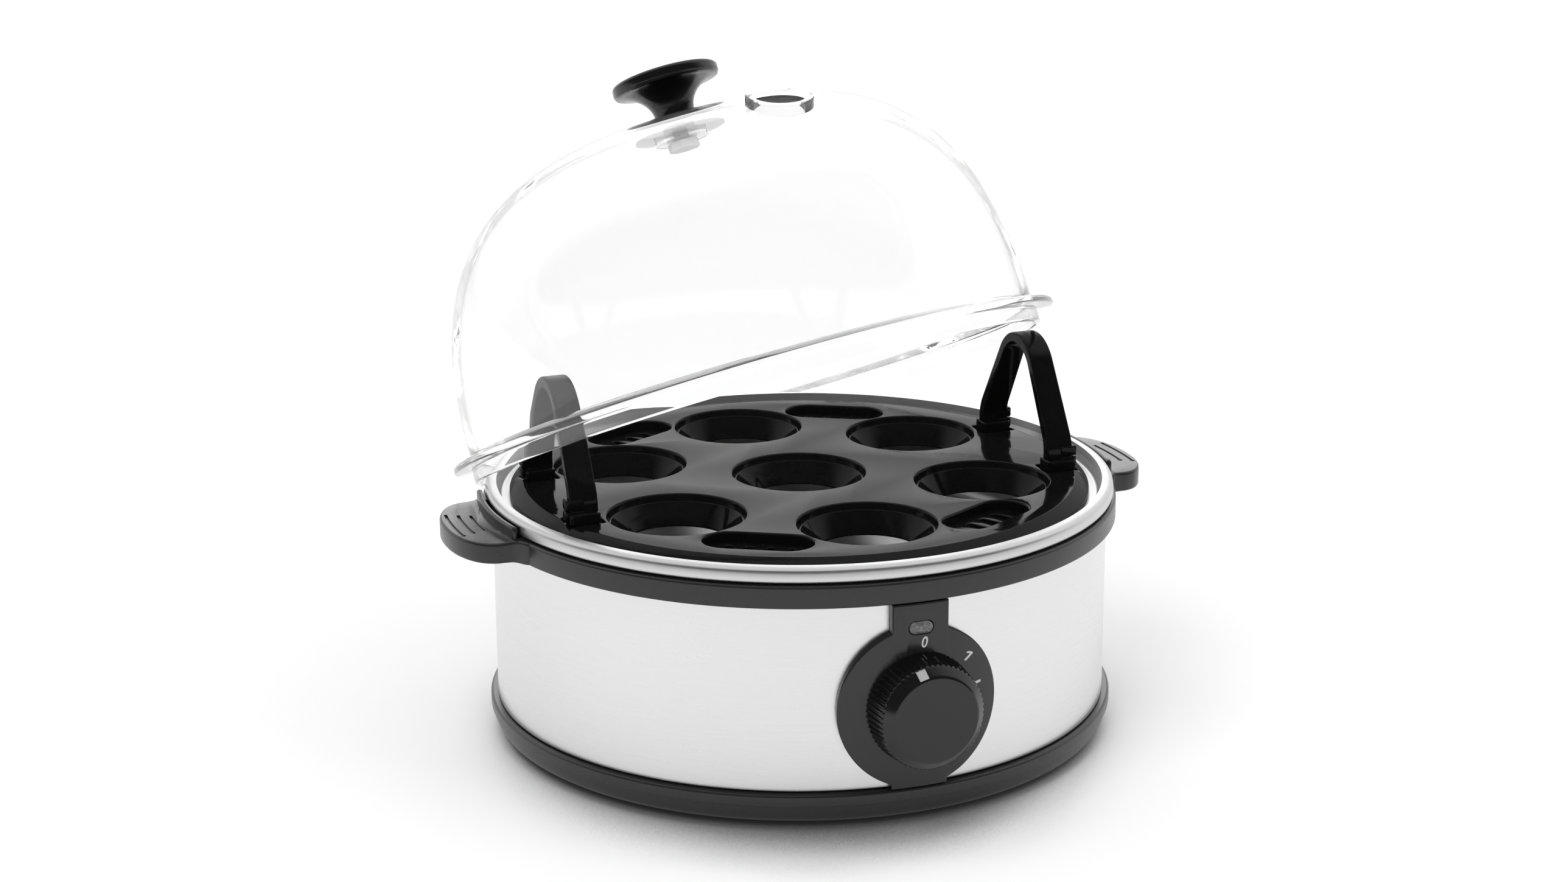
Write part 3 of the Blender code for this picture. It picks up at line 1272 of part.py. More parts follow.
def lid_dome():
    """Blow the clear lid: skirt, flange, dome and the raised ring of the steam vent."""
    bore = KNOB_SCREW_RADIUS + GAP
    outer = dome_points(0.0, LID_OUTER_STEPS)[1:]
    inner = dome_points(LID_SHEET, LID_INNER_STEPS)[1:]
    flange_top = LID_SKIRT + LID_FLANGE_EDGE
    body = lathe(
        [(bore, LID_TOP), (KNOB_WASHER_RADIUS, LID_TOP)] + outer
        + rounded([
            (LID_SKIRT_OUTER, LID_DOME_BASE),
            (LID_FLANGE_RADIUS, flange_top, EDGE_ROUND),
            (LID_FLANGE_RADIUS, LID_SKIRT, EDGE_ROUND),
            (LID_SKIRT_OUTER, LID_SKIRT),
            (LID_SKIRT_OUTER, 0.0),
            (LID_SKIRT_INNER, 0.0),
            (LID_SKIRT_INNER, LID_SKIRT),
        ])
        + inner[::-1]
        + [(INNER_WASHER_RADIUS + GAP, LID_TOP - LID_SHEET), (bore, LID_TOP - LID_SHEET)]
    )
    place = vent_turn()
    ring = moved(rod(VENT_HOLE + VENT_RING_WIDTH, -VENT_RING_ROOT, VENT_RING_HEIGHT, CUP_SIDES), place)
    hole = moved(rod(VENT_HOLE, -VENT_HOLE, VENT_RING_HEIGHT + OVERRUN, CUP_SIDES), place)
    return cut(fused(body, ring), hole)


def lid_knob():
    """Turn the mushroom knob of the lid, with the hole for its screw."""
    neck_top = KNOB_BOTTOM + KNOB_NECK_HEIGHT
    flare_top = neck_top + KNOB_FLARE_HEIGHT
    disc_top = flare_top + KNOB_EDGE
    flare = []
    for step in range(1, KNOB_FLARE_STEPS):
        angle = math.pi / 2 * step / KNOB_FLARE_STEPS
        radius = KNOB_RADIUS - (KNOB_RADIUS - KNOB_NECK_RADIUS) * math.cos(angle)
        flare.append((radius, neck_top + KNOB_FLARE_HEIGHT * math.sin(angle)))
    flare = [(KNOB_NECK_RADIUS, neck_top)] + flare
    body = lathe(
        [(0, KNOB_BOTTOM), (KNOB_NECK_RADIUS, KNOB_BOTTOM)] + flare
        + rounded([
            (KNOB_RADIUS, flare_top, KNOB_EDGE_ROUND / 2),
            (KNOB_RADIUS, disc_top, KNOB_EDGE_ROUND),
            (KNOB_RADIUS * KNOB_CROWN_SHARES[0][0], disc_top + KNOB_CROWN * KNOB_CROWN_SHARES[0][1]),
        ])
        + [(KNOB_RADIUS * out, disc_top + KNOB_CROWN * up) for out, up in KNOB_CROWN_SHARES[1:]],
        CUP_SIDES,
    )
    return cut(body, rod(KNOB_SCREW_RADIUS + GAP, KNOB_BOTTOM - OVERRUN, knob_screw_top() + GAP))


def knob_screw_top():
    """Give the height of the tip of the knob's screw."""
    return KNOB_BOTTOM + KNOB_SCREW_GRIP


def inner_washer_bottom():
    """Give the height of the underside of the washer inside the dome."""
    return LID_TOP - LID_SHEET - GAP - INNER_WASHER_HEIGHT


def ring_points(pose, radius, height):
    """Give points round the lid at a radius and height of its own, in the boiler's frame."""
    points = []
    for angle in around(LID_SAMPLES):
        points.append(pose @ Vector((*at(radius, angle), height)))
    return points


def edge_shortfall(pose):
    """Give how far the lid must still slide back to hang clear of the housing's edge."""
    back_way = Vector((math.cos(LID_LEAN_AZIMUTH), math.sin(LID_LEAN_AZIMUTH), 0))
    shortfall = -math.inf
    clear = GAP / math.cos(math.pi / RING_SIDES)
    for height in (0.0, LID_SKIRT / 2, LID_SKIRT):
        for point in ring_points(pose, LID_SKIRT_INNER * math.cos(math.pi / RING_SIDES), height):
            out = math.hypot(point.x, point.y)
            along = point.x * back_way.x + point.y * back_way.y
            if along <= 0 or point.z > RIM_TOP + GAP:
                continue
            edge = BASE_RADIUS if point.z < COLLAR_TOP + GAP else RIM_RADIUS
            shortfall = max(shortfall, (edge + clear - out) * out / along)
    return shortfall


def handle_shortfall(pose):
    """Give how far the lid must still rise to rest on the right handle."""
    up = pose.to_3x3() @ Vector((0, 0, 1))
    base = pose.translation
    centre = handle_top() - HANDLE_ARC
    shortfall = -math.inf
    for step in range(LID_SAMPLES):
        angle = math.pi * step / LID_SAMPLES
        y, z = at(HANDLE_ARC, angle)
        point = Vector((HANDLE_OUTER, y, centre + z))
        height = (point - base).dot(up)
        out = (point - base - up * height).length
        if out < LID_SKIRT_INNER * math.cos(math.pi / RING_SIDES) - GAP:
            continue
        shortfall = max(shortfall, (height + GAP) / up.z)
    return shortfall


def lid_pose():
    """Lean the lid back until it rests on the right handle and the housing's edge."""
    turn = Matrix.Rotation(LID_LEAN_AZIMUTH, 4, 'Z') @ Matrix.Rotation(LID_TILT, 4, 'Y')
    back_way = Vector((math.cos(LID_LEAN_AZIMUTH), math.sin(LID_LEAN_AZIMUTH), 0))
    place = back_way * (BASE_RADIUS - LID_SKIRT_INNER * math.cos(LID_TILT))
    place.z = handle_top() - LID_SKIRT_INNER * math.sin(LID_TILT) / 2
    for _ in range(LID_SETTLING_ROUNDS):
        place.z += handle_shortfall(Matrix.Translation(place) @ turn)
        place += back_way * edge_shortfall(Matrix.Translation(place) @ turn)
    return Matrix.Translation(place) @ turn


def build():
    """Make every piece in its place."""
    clear_scene()
    black = finish("black_plastic", (0.045, 0.045, 0.048), 0.55)
    gloss = finish("gloss_black_plastic", (0.012, 0.012, 0.013), 0.12)
    brushed = finish("brushed_steel", (0.72, 0.72, 0.71), 0.34, 1.0)
    bright = finish("bright_steel", (0.78, 0.78, 0.77), 0.2, 1.0)
    cast = finish("cast_aluminium", (0.55, 0.55, 0.55), 0.5, 1.0)
    rubber = finish("rubber", (0.03, 0.03, 0.03), 0.8)
    silicone = finish("silicone", (0.6, 0.58, 0.55), 0.5)
    clear = finish("clear_plastic", (0.9, 0.92, 0.93), 0.05)
    white = finish("white_plastic", (0.85, 0.85, 0.84), 0.4)
    amber = finish("amber_glass", (0.9, 0.4, 0.1), 0.1)
    zinc = finish("zinc_steel", (0.6, 0.6, 0.62), 0.35, 1.0)

    piece("base_moulding", base_moulding(), black)
    screw_seat = POST_TOP - POST_SHOULDER - GAP
    for index, angle in enumerate(around(POST_COUNT, math.pi / POST_COUNT), 1):
        screw = headed_screw(SCREW_RADIUS, SCREW_REACH, SCREW_HEAD_RADIUS, SCREW_HEAD_HEIGHT)
        screw = shifted(screw, *at(POST_PLACE, angle), screw_seat)
        piece(f"base_screw_{index}", screw, zinc)
    for index, angle in enumerate(around(FOOT_COUNT), 1):
        piece(f"rubber_foot_{index}", shifted(foot(), *at(foot_place(), angle)), rubber)
    piece("wall_shell", wall_shell(), brushed)
    piece("upper_collar", upper_collar(), black)
    piece("water_bowl", bowl(), bright)
    piece("bowl_seal", bowl_seal(), silicone)
    piece("heater_plate", heater_plate(), cast)
    piece("heating_element", pipe(element_path(), ELEMENT_TUBE, ELEMENT_SIDES), zinc)
    piece("element_clamp", element_clamp(), zinc)
    clamp_nut = bored_nut(NUT_RADIUS, STUD_RADIUS + GAP, NUT_BOTTOM, NUT_TOP)
    piece("clamp_nut", clamp_nut, zinc)
    piece("thermostat", thermostat(), zinc)
    piece("thermal_fuse", thermal_fuse(), white)
    piece("terminal_block", terminal_block(), white)
    block_reach = TERMINAL_HEIGHT + TERMINAL_BOSS_HEIGHT
    block_screw = headed_screw(
        BRACKET_SCREW_RADIUS, block_reach, BRACKET_SCREW_HEAD, BRACKET_SCREW_HEAD_HEIGHT,
    )
    block_top = FLOOR_TOP + TERMINAL_BOSS_HEIGHT + TERMINAL_HEIGHT + 2 * GAP
    block_screw = moved(block_screw, Matrix.Rotation(math.pi, 4, 'X'))
    piece("terminal_screw", shifted(block_screw, y=TERMINAL_PLACE, z=block_top), zinc)
    piece("cord_gland", cord_gland(), black)
    piece("control_panel", control_panel(), black)
    piece("lamp_lens", lamp_lens(), clear)
    piece("indicator_lamp", indicator_lamp(), amber)
    piece("regulator_body", regulator_body(), black)
    low = BRACKET_FRONT + GAP
    regulator_nut = bored_nut(REGULATOR_NUT_RADIUS, BUSH_RADIUS + GAP, low, low + REGULATOR_NUT_HEIGHT)
    piece("regulator_nut", front(regulator_nut, DIAL_HEIGHT), zinc)
    piece("regulator_bracket", regulator_bracket(), zinc)
    for name, side in (("left", -1), ("right", 1)):
        screw = headed_screw(
            BRACKET_SCREW_RADIUS, BRACKET_SCREW_REACH, BRACKET_SCREW_HEAD, BRACKET_SCREW_HEAD_HEIGHT,
        )
        screw = shifted(screw, x=side * PANEL_BOSS_PLACE, z=BRACKET_BACK - GAP)
        piece(f"bracket_screw_{name}", front(screw, DIAL_HEIGHT), zinc)

    dial_axis = carrier("dial_axis", Matrix.Translation((0, 0, DIAL_HEIGHT)) @ FRONT_TURN)
    piece("dial_knob", dial_knob(), black, dial_axis)
    piece("dial_pointer", pointer_shape(0.0, OVERRUN), white, dial_axis)
    piece("regulator_shaft", regulator_shaft(), zinc, dial_axis)

    tray_axis = carrier("tray_axis", Matrix.Identity(4))
    piece("egg_tray", egg_tray(), gloss, tray_axis)
    piece("tray_handle_right", tray_handle(0.0), gloss, tray_axis)
    piece("tray_handle_left", tray_handle(math.pi), gloss, tray_axis)
    for index, place in enumerate(screw_places(), 1):
        piece(f"handle_screw_{index}", shifted(handle_screw(), *place), zinc, tray_axis)

    lid_axis = carrier("lid_axis", lid_pose())
    piece("lid_dome", lid_dome(), clear, lid_axis)
    piece("lid_knob", lid_knob(), black, lid_axis)
    bore = KNOB_SCREW_RADIUS + GAP
    washer_top = KNOB_WASHER_BOTTOM + KNOB_WASHER_HEIGHT
    washer = lathe(section(bore, KNOB_WASHER_RADIUS, KNOB_WASHER_BOTTOM, washer_top), CUP_SIDES)
    piece("knob_washer", washer, black, lid_axis)
    low = inner_washer_bottom()
    inner_washer = lathe(section(bore, INNER_WASHER_RADIUS, low, low + INNER_WASHER_HEIGHT), CUP_SIDES)
    piece("inner_washer", inner_washer, zinc, lid_axis)
    seat = low - GAP
    reach = knob_screw_top() - seat
    screw = headed_screw(KNOB_SCREW_RADIUS, reach, KNOB_SCREW_HEAD, KNOB_SCREW_HEAD_HEIGHT)
    piece("lid_screw", shifted(screw, z=seat), zinc, lid_axis)


build()
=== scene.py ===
"""Looks of a commercial egg boiler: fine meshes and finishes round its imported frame.

The boiler stands on z = 0 with its control panel facing -Y. Places and main sizes are
read from the frame; the small shapes have named sizes, in metres.
"""

from math import acos, asin, atan2, ceil, cos, pi, radians, sin, sqrt, tan

import bmesh
import bpy
from mathutils import Matrix, Vector


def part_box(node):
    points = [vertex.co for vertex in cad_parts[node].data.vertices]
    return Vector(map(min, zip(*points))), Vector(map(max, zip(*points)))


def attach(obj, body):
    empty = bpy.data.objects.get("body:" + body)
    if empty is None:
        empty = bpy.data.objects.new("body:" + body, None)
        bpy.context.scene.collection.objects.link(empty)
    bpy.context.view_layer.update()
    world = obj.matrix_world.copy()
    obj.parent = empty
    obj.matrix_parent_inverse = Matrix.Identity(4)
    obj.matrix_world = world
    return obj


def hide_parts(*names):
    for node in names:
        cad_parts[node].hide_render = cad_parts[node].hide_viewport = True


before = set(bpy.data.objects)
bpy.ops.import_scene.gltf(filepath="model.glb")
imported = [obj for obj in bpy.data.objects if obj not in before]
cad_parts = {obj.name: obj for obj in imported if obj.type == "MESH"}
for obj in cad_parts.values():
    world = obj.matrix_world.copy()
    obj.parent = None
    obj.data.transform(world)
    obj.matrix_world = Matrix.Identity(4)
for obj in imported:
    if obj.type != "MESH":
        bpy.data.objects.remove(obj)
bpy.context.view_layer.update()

MM = 0.001
GAP = 0.3 * MM
OVERRUN = 1.0 * MM

# Fineness
RING_SIDES = 192
CUP_SIDES = 72
SMALL_SIDES = 40
KNOB_SIDES = 96
GROOVE_SIDES = 12
DOT_SIDES = 16
SLOT_STEPS = 12
EDGE_STEPS = 4
CURVE_STEPS = 4
EAR_STEPS = 6
FENCE_END_STEPS = 6
PANEL_EDGE_STEPS = 3
LENS_STEPS = 6
LAMP_STEPS = 8
LIP_STEPS = 5
FLARE_STEPS = 16
CROWN_STEPS = 12
SLAB_RING_SHARES = (0.25, 0.5, 0.75)
ROUND_STEP = radians(12)
ROUND_SHARE = 0.48
SMOOTH_ANGLE = radians(32)
WELD = 0.002 * MM
PANEL_LINES = 19
MARK_STEP = 1.2 * MM

# Finishes
NOISE_LOW = 0.3
NOISE_HIGH = 0.7
CLEAR_SHADOW = 0.94

# Roundings that come back
FINE_EDGE = 0.2 * MM
SOFT_EDGE = 0.3 * MM
LIP_EDGE = 0.5 * MM

# Camera, at the photograph's viewing angle
CAMERA_PLACE = Vector((-0.2365, -0.6325, 0.2615))
CAMERA_YAW = radians(-20.19)
CAMERA_PITCH = radians(-15.82)
CAMERA_ROLL = radians(-0.30)
CAMERA_LENS = 65.12
SENSOR_WIDTH = 36.0

# Stage
WHITE = (1.0, 1.0, 1.0, 1.0)
WORLD_LEVEL = 0.72
SWEEP_SIDE = (0.30, 0.80, 0.52)
SWEEP_START = 0.1
SWEEP_END = 0.45
ROOM_LEVEL = 0.08
NO_MIRROR = 0.5
FLOOR_SIZE = 6.0
FLOOR_SQUARES = 8
FLOOR_ROUGHNESS = 0.9
FLOOR_GLOW = 0.08
# Painted shadow on the floor: occlusion within this reach sets the floor's colour by these levels,
# its hemisphere tilted to the back so the shade falls toward the front, and paler in reflections
PAINTED_SHADOW_REACH = 0.05
PAINTED_SHADOW_SAMPLES = 16
PAINTED_SHADOW_SIDE = (0.30, 0.83, 0.47)
PAINTED_SHADOW_LEVELS = (
    (0.3, 0.08), (0.41, 0.22), (0.48, 0.46), (0.53, 0.7), (0.58, 0.92), (0.64, 1.0),
)
PAINTED_SHADOW_MIRROR_PALING = 0.6
LAMP_AIM = Vector((0, 0, 0.06))
# Name, place, size in metres, watts, and whether mirrors and clear plastic show it
LAMPS = (
    ("key", (-0.7, -0.5, 1.1), 0.8, 5.0, False),
    ("fill", (0.9, -0.6, 0.9), 0.9, 2.5, False),
    ("back", (0.62, 1.7, 0.66), 1.1, 5.0, True),
)

# Sizes read from the frame
base_low, base_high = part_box("base_moulding")
wall_low, wall_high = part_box("wall_shell")
collar_low, collar_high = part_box("upper_collar")
bowl_low, bowl_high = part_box("water_bowl")
tray_low, tray_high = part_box("egg_tray")
handle_low, handle_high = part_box("tray_handle_right")
dial_low, dial_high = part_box("dial_knob")
foot_low, foot_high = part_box("rubber_foot_1")
seal_low, seal_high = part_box("bowl_seal")
gland_low, gland_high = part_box("cord_gland")
terminal_sides = [vertex.co.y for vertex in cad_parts["terminal_block"].data.vertices]

BASE_BOTTOM = base_low.z
POST_TOP = base_high.z
BASE_RADIUS = base_high.y
COLLAR_RADIUS = collar_high.y
WALL_RADIUS = wall_high.x
WALL_BOTTOM = wall_low.z
WALL_TOP = wall_high.z
LEG_BOTTOM = collar_low.z
RIM_RADIUS = bowl_high.y
RIM_TOP = bowl_high.z
BOWL_FLOOR_BOTTOM = bowl_low.z
TRAY_RADIUS = tray_high.x
DECK_TOP = tray_high.z
CUP_BOTTOM = tray_low.z
HANDLE_TOP = handle_high.z
HANDLE_FOOT = handle_low.z
HANDLE_HALF_SPAN = handle_high.y
PANEL_OUTER = -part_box("control_panel")[0].y
DIAL_BACK = -dial_high.y
DIAL_FRONT = -dial_low.y
DIAL_HEIGHT = (dial_low.z + dial_high.z) / 2
DIAL_BASE_RADIUS = (dial_high.z - dial_low.z) / 2
FOOT_RADIUS = (foot_high.x - foot_low.x) / 2
FOOT_PLACE = (foot_high.x + foot_low.x) / 2
FOOT_TOP = foot_high.z
SEAL_OUTER = seal_high.x
SEAL_BOTTOM = seal_low.z
GLAND_HEIGHT = (gland_low.z + gland_high.z) / 2
TERMINAL_PLACE = sum(terminal_sides) / len(terminal_sides)

# Housing details
WALL_SHEET = 0.7 * MM
WALL_EDGE = 0.15 * MM
BASE_FLOOR = 2.4 * MM
BASE_BAND = 3.0 * MM
BASE_STEP = 0.6 * MM
BASE_FLANK = 2.0 * MM
BASE_FLANK_SHARES = ((1.0, 0.0), (0.42, 0.22), (0.1, 0.58), (0.0, 1.0))
UPSTAND_SHEET = 1.3 * MM
UPSTAND_HEIGHT = 5.0 * MM
FIT_PLAY = 0.4 * MM
EDGE_ROUND = 0.7 * MM
COLLAR_HEIGHT = 5.3 * MM
COLLAR_FLANGE = 2.4 * MM
COLLAR_DOWNSTAND = 5.6 * MM
POST_RADIUS = 4.2 * MM
POST_SHOULDER = 2.5 * MM
LEG_RADIUS = 3.8 * MM
LEG_HOLE_DEPTH = 13.0 * MM
SCREW_RADIUS = 1.4 * MM
SCREW_HEAD_RADIUS = 2.7 * MM
TERMINAL_BOSS_RADIUS = 4.0 * MM
TERMINAL_BOSS_HEIGHT = 3.0 * MM
TERMINAL_SCREW_RADIUS = 1.2 * MM
INTAKE_COUNT = 8
INTAKE_LENGTH = 20.0 * MM
INTAKE_WIDTH = 3.2 * MM
INTAKE_PLACE = 32.0 * MM
GLAND_RADIUS = 7.0 * MM
GLAND_STEM_RADIUS = 5.2 * MM
GLAND_BORE = 3.6 * MM
GLAND_FLANGE = 2.4 * MM
GLAND_MOUTH_EDGE = 0.8 * MM

# Ears
EAR_REACH = 12.0 * MM
EAR_THICKNESS = 5.0 * MM
EAR_EDGE = 0.7 * MM
EAR_HALF_ANGLE = radians(16.0)
EAR_SHAPE_SHARES = (
    (-0.18, 1.0), (0.0, 1.0), (0.13, 0.84), (0.30, 0.795), (0.47, 0.77), (0.66, 0.70),
    (0.82, 0.57), (0.93, 0.39), (0.985, 0.20), (1.0, 0.0),
)
EAR_CENTRE_SHARE = 0.32
EAR_FLANK_START = 0.62
EAR_FLANK_SPREAD = 0.25
EAR_CREST_REACH = 5.0 * MM
EAR_HOLLOW_REACH = 1.6 * MM
EAR_HOLLOW_RISE = 0.5 * MM
EAR_HOLLOW_POWER = 2.4
FENCE_WIDTH = 1.4 * MM
FENCE_RISE = 3.2 * MM
FENCE_HALF_ANGLE = radians(12.5)
FENCE_END = 0.9 * MM
FENCE_END_WIDTH_SHARE = 0.12
FENCE_END_HEIGHT_SHARE = 0.62
FENCE_EDGE = 0.6 * MM
FENCE_STEPS = 14
SLOT_WIDTH = 1.5 * MM
SLOT_DEPTH = 2.1 * MM
SLOT_HALF_ANGLE = radians(12.0)
GROOVE_REACHES = (4.2 * MM, 7.05 * MM, 9.9 * MM)
GROOVE_HALF_ANGLES = tuple(radians(angle) for angle in (4.2, 5.0, 5.8))
GROOVE_WIDTH = 0.8 * MM
GROOVE_DOT = 0.65 * MM
GROOVE_STEPS = 12

# Bowl and seal
BOWL_SHEET = 0.8 * MM
RIM_HEIGHT = 3.7 * MM
RIM_FOLD = 2.8 * MM
RIM_LEAN = 1.2 * MM
RIM_HOLLOW = 2.4 * MM
RIM_BEAD_SHARES = (
    (0.0, 1.0), (0.55, 0.95), (0.9, 0.8), (1.0, 0.5), (0.99, 0.2), (0.87, 0.05), (0.6, 0.0),
)
RIM_BEAD_STEPS = 5
LEDGE_DROP = 3.6 * MM
LEDGE_WIDTH = 8.4 * MM
BOWL_DRAFT = 3.0 * MM
BOWL_ROUND = 4.0 * MM
BOWL_NOTCH = 2.2 * MM
SEAL_WIDTH = 2.4 * MM
SEAL_CLEARANCE = 0.3 * MM

# Panel, lamp and dial
PANEL_SHEET = 1.9 * MM
PANEL_CIRCLE = 19.5 * MM
PANEL_NECK_WIDTH = 13.8 * MM
PANEL_EDGE = 0.35 * MM
PANEL_STEPS = 60
PANEL_BOSS_PLACE = 15.6 * MM
PANEL_BOSS_RADIUS = 2.6 * MM
PANEL_BOSS_REACH = 7.8 * MM
BOSS_SCREW_RADIUS = 1.2 * MM
BOSS_SCREW_REACH = 6.0 * MM
LENS_DROP = 5.8 * MM
LENS_LENGTH = 6.3 * MM
LENS_WIDTH = 3.4 * MM
LENS_PROUD = 0.5 * MM
LENS_PILLOW = 0.9 * MM
LENS_SOCKET_RADIUS = 3.2 * MM
LENS_SOCKET_LENGTH = 5.0 * MM
LAMP_RADIUS = 1.9 * MM
LAMP_LENGTH = 7.4 * MM
SHAFT_RADIUS = 3.0 * MM
DIAL_EDGE_RADIUS = 12.5 * MM
DIAL_FACE_RADIUS = 10.0 * MM
DIAL_CHAMFER = 2.0 * MM
DIAL_RIBS = 60
DIAL_RIB_DEPTH = 0.3 * MM
# Rings in and up at the dial's edge, and out and down at its face, in soft edges
DIAL_EDGE_RINGS = ((1, 0), (1.4, 0.4))
DIAL_FACE_RINGS = ((2, 1.4), (1, 0.5), (0, 0.1), (-1, 0))
DIAL_BORE_DEPTH = 6.6 * MM
POINTER_ANGLE = radians(16.0)
POINTER_WIDTH = 2.2 * MM
POINTER_INNER = 10.35 * MM
POINTER_OUTER = 12.1 * MM
POINTER_DEPTH = 1.1 * MM
POINTER_PROUD = 0.05 * MM

# Marks on the panel
MARK_PROUD = 0.05 * MM
MARK_SINK = 0.1 * MM
NUMBER_HEIGHT = 2.6 * MM
NUMBER_LEAN = 0.12
NUMBER_NARROWING = 0.86
NUMBER_BOLDNESS = 0.012
ZERO_RADIUS = 15.5 * MM
ZERO_ANGLE = radians(3.2)
ONE_RADIUS = 15.9 * MM
ONE_ANGLE = radians(49.7)
ONE_STROKE = 0.5 * MM
ONE_FLAG = 0.9 * MM
ONE_FLAG_DROP = 0.75
ONE_TIP = 0.6
ONE_CROTCH = 1.3
DASH_RADIUS = 14.7 * MM
DASH_ANGLE = radians(76.0)
DASH_LENGTH = 2.3 * MM
DASH_WIDTH = 0.6 * MM

# Tray and handles
TRAY_SHEET = 1.8 * MM
TRAY_RISE = 3.0 * MM
TRAY_BEVEL = 3.4 * MM
TRAY_EDGE = 1.1 * MM
TRAY_SIDE_ROUND = 0.4 * MM
SEAT_COUNT = 6
SEAT_PITCH = 45.5 * MM
SEAT_RADIUS = 16.5 * MM
SEAT_STEP = 0.9 * MM
SEAT_STEP_DEPTH = 1.6 * MM
SEAT_MOUTH = 12.4 * MM
SEAT_WALL = 1.4 * MM
SEAT_LIP_ROUND = 0.6 * MM
SEAT_STEP_ROUND = 0.25 * MM
STEAM_ANGLES = tuple(radians(angle) for angle in (60.0, 120.0, 240.0, 300.0))
STEAM_PLACE = 57.0 * MM
STEAM_LENGTH = 26.0 * MM
STEAM_WIDTH = 12.0 * MM
STEAM_DEPTH = 2.5 * MM
STEAM_WALL = 1.4 * MM
STEAM_SLOT_COUNT = 4
STEAM_SLOT_PITCH = 5.0 * MM
STEAM_SLOT_WIDTH = 2.0 * MM
STEAM_SLOT_LENGTH = 7.0 * MM
WELL_DEPTH = 0.8 * MM
WELL_MARGIN = 0.8 * MM
WELL_CORNER = 0.8 * MM
HANDLE_PLACE = 61.5 * MM
HANDLE_WIDTH = 6.0 * MM
HANDLE_FLARE = 1.2 * MM
HANDLE_FLARE_POWER = 1.5
HANDLE_STRAP = 2.8 * MM
HANDLE_LEAN = radians(31.7)
HANDLE_ARC = 11.2 * MM
HANDLE_BEND = 9.0 * MM
HANDLE_BEND_STEP = radians(4)
HANDLE_ARC_STEPS = 32
HANDLE_PAD_WIDTH = 7.5 * MM
HANDLE_PAD_LENGTH = 6.0 * MM
HANDLE_PAD_HEIGHT = 2.8 * MM
HANDLE_PAD_CORNER = 1.0 * MM
HANDLE_PAD_EDGE = 0.4 * MM
HANDLE_EDGE = 0.55 * MM
LATCH_REACH = 1.5 * MM
LATCH_HEIGHT = 2.4 * MM
LATCH_PITCH = 2.7 * MM
LATCH_FIRST = 1.5 * MM
LATCH_EDGE = 0.35 * MM
HANDLE_SCREW_RADIUS = 1.1 * MM

# Lid and knob
LID_SHEET = 1.8 * MM
LID_SKIRT = 3.55 * MM
LID_SKIRT_OUTER = 73.3 * MM
LID_SKIRT_INNER = 71.9 * MM
LID_FLANGE_RADIUS = 77.7 * MM
LID_FLANGE_EDGE = 1.5 * MM
LID_FLANGE_HEIGHT = 3.05 * MM
LID_FLANGE_TOP_ROUND = 0.8 * MM
LID_FLANGE_SIDE_ROUND = 0.6 * MM
LID_SKIRT_ROOT_ROUND = 1.0 * MM
LID_DOME_RADIUS = 72.8 * MM
LID_RISE = 66.8 * MM
LID_SIDE_POWER = 3.24
LID_TOP_POWER = 2.36
LID_STEPS = 48
LID_VENT_PLACE = 48.5 * MM
LID_VENT_AZIMUTH = radians(171.0)
LID_VENT_HOLE = 6.3 * MM
LID_VENT_RING = 1.95 * MM
LID_VENT_HEIGHT = 2.0 * MM
LID_VENT_ROOT = 1.2 * MM
LID_VENT_EDGE = 0.6 * MM
LID_VENT_STEP = 0.05 * MM
LID_VENT_MOUTH = 0.3
KNOB_WASHER_RADIUS = 11.8 * MM
KNOB_WASHER_HEIGHT = 1.2 * MM
KNOB_NECK_RADIUS = 5.1 * MM
KNOB_NECK_HEIGHT = 1.0 * MM
KNOB_FLARE_HEIGHT = 7.4 * MM
KNOB_RADIUS = 13.7 * MM
KNOB_EDGE = 3.0 * MM
KNOB_GROOVE = 0.35 * MM
KNOB_CROWN = 1.7 * MM
KNOB_CROWN_START = 0.8
KNOB_CROWN_DROP = 0.36
KNOB_EDGE_ROUND = 1.2 * MM
KNOB_SCREW_RADIUS = 2.0 * MM
KNOB_SCREW_GRIP = 6.5 * MM

# Sizes that follow
BASE_LEDGE = WALL_BOTTOM - GAP
FLOOR_TOP = BASE_BOTTOM + BASE_FLOOR
COLLAR_BOTTOM = WALL_TOP + GAP
COLLAR_TOP = COLLAR_BOTTOM + COLLAR_HEIGHT
EAR_TOP = COLLAR_BOTTOM + EAR_THICKNESS
LIP_BOTTOM = COLLAR_TOP + GAP
LEDGE_TOP = RIM_TOP - LEDGE_DROP
COLLAR_FLANGE_TOP = LEDGE_TOP - BOWL_SHEET - GAP
COLLAR_FLANGE_BOTTOM = COLLAR_FLANGE_TOP - COLLAR_FLANGE
WALL_INNER = WALL_RADIUS - WALL_SHEET
UPSTAND_OUTER = WALL_INNER - FIT_PLAY
UPSTAND_INNER = UPSTAND_OUTER - UPSTAND_SHEET
POST_PLACE = UPSTAND_INNER - LEG_RADIUS + FIT_PLAY
CREST_RADIUS = RIM_RADIUS - RIM_FOLD
LEDGE_OUTER = CREST_RADIUS - RIM_LEAN
LEDGE_INNER = LEDGE_OUTER - LEDGE_WIDTH
BOWL_FLOOR_TOP = BOWL_FLOOR_BOTTOM + BOWL_SHEET
BOWL_FOOT_RADIUS = LEDGE_INNER - BOWL_DRAFT
COLLAR_INNER = LEDGE_INNER + BOWL_SHEET + FIT_PLAY
PANEL_INNER = WALL_RADIUS + GAP
LENS_HEIGHT = WALL_TOP - LENS_DROP
BOSS_BACK = WALL_INNER - PANEL_BOSS_REACH + GAP
DECK_BOTTOM = DECK_TOP - TRAY_SHEET
TRAY_BOTTOM = DECK_TOP - TRAY_RISE
HANDLE_OUTER = HANDLE_PLACE + HANDLE_WIDTH / 2
PAD_PLACE = HANDLE_HALF_SPAN - HANDLE_STRAP / 2
LID_DOME_BASE = LID_SKIRT + LID_FLANGE_HEIGHT
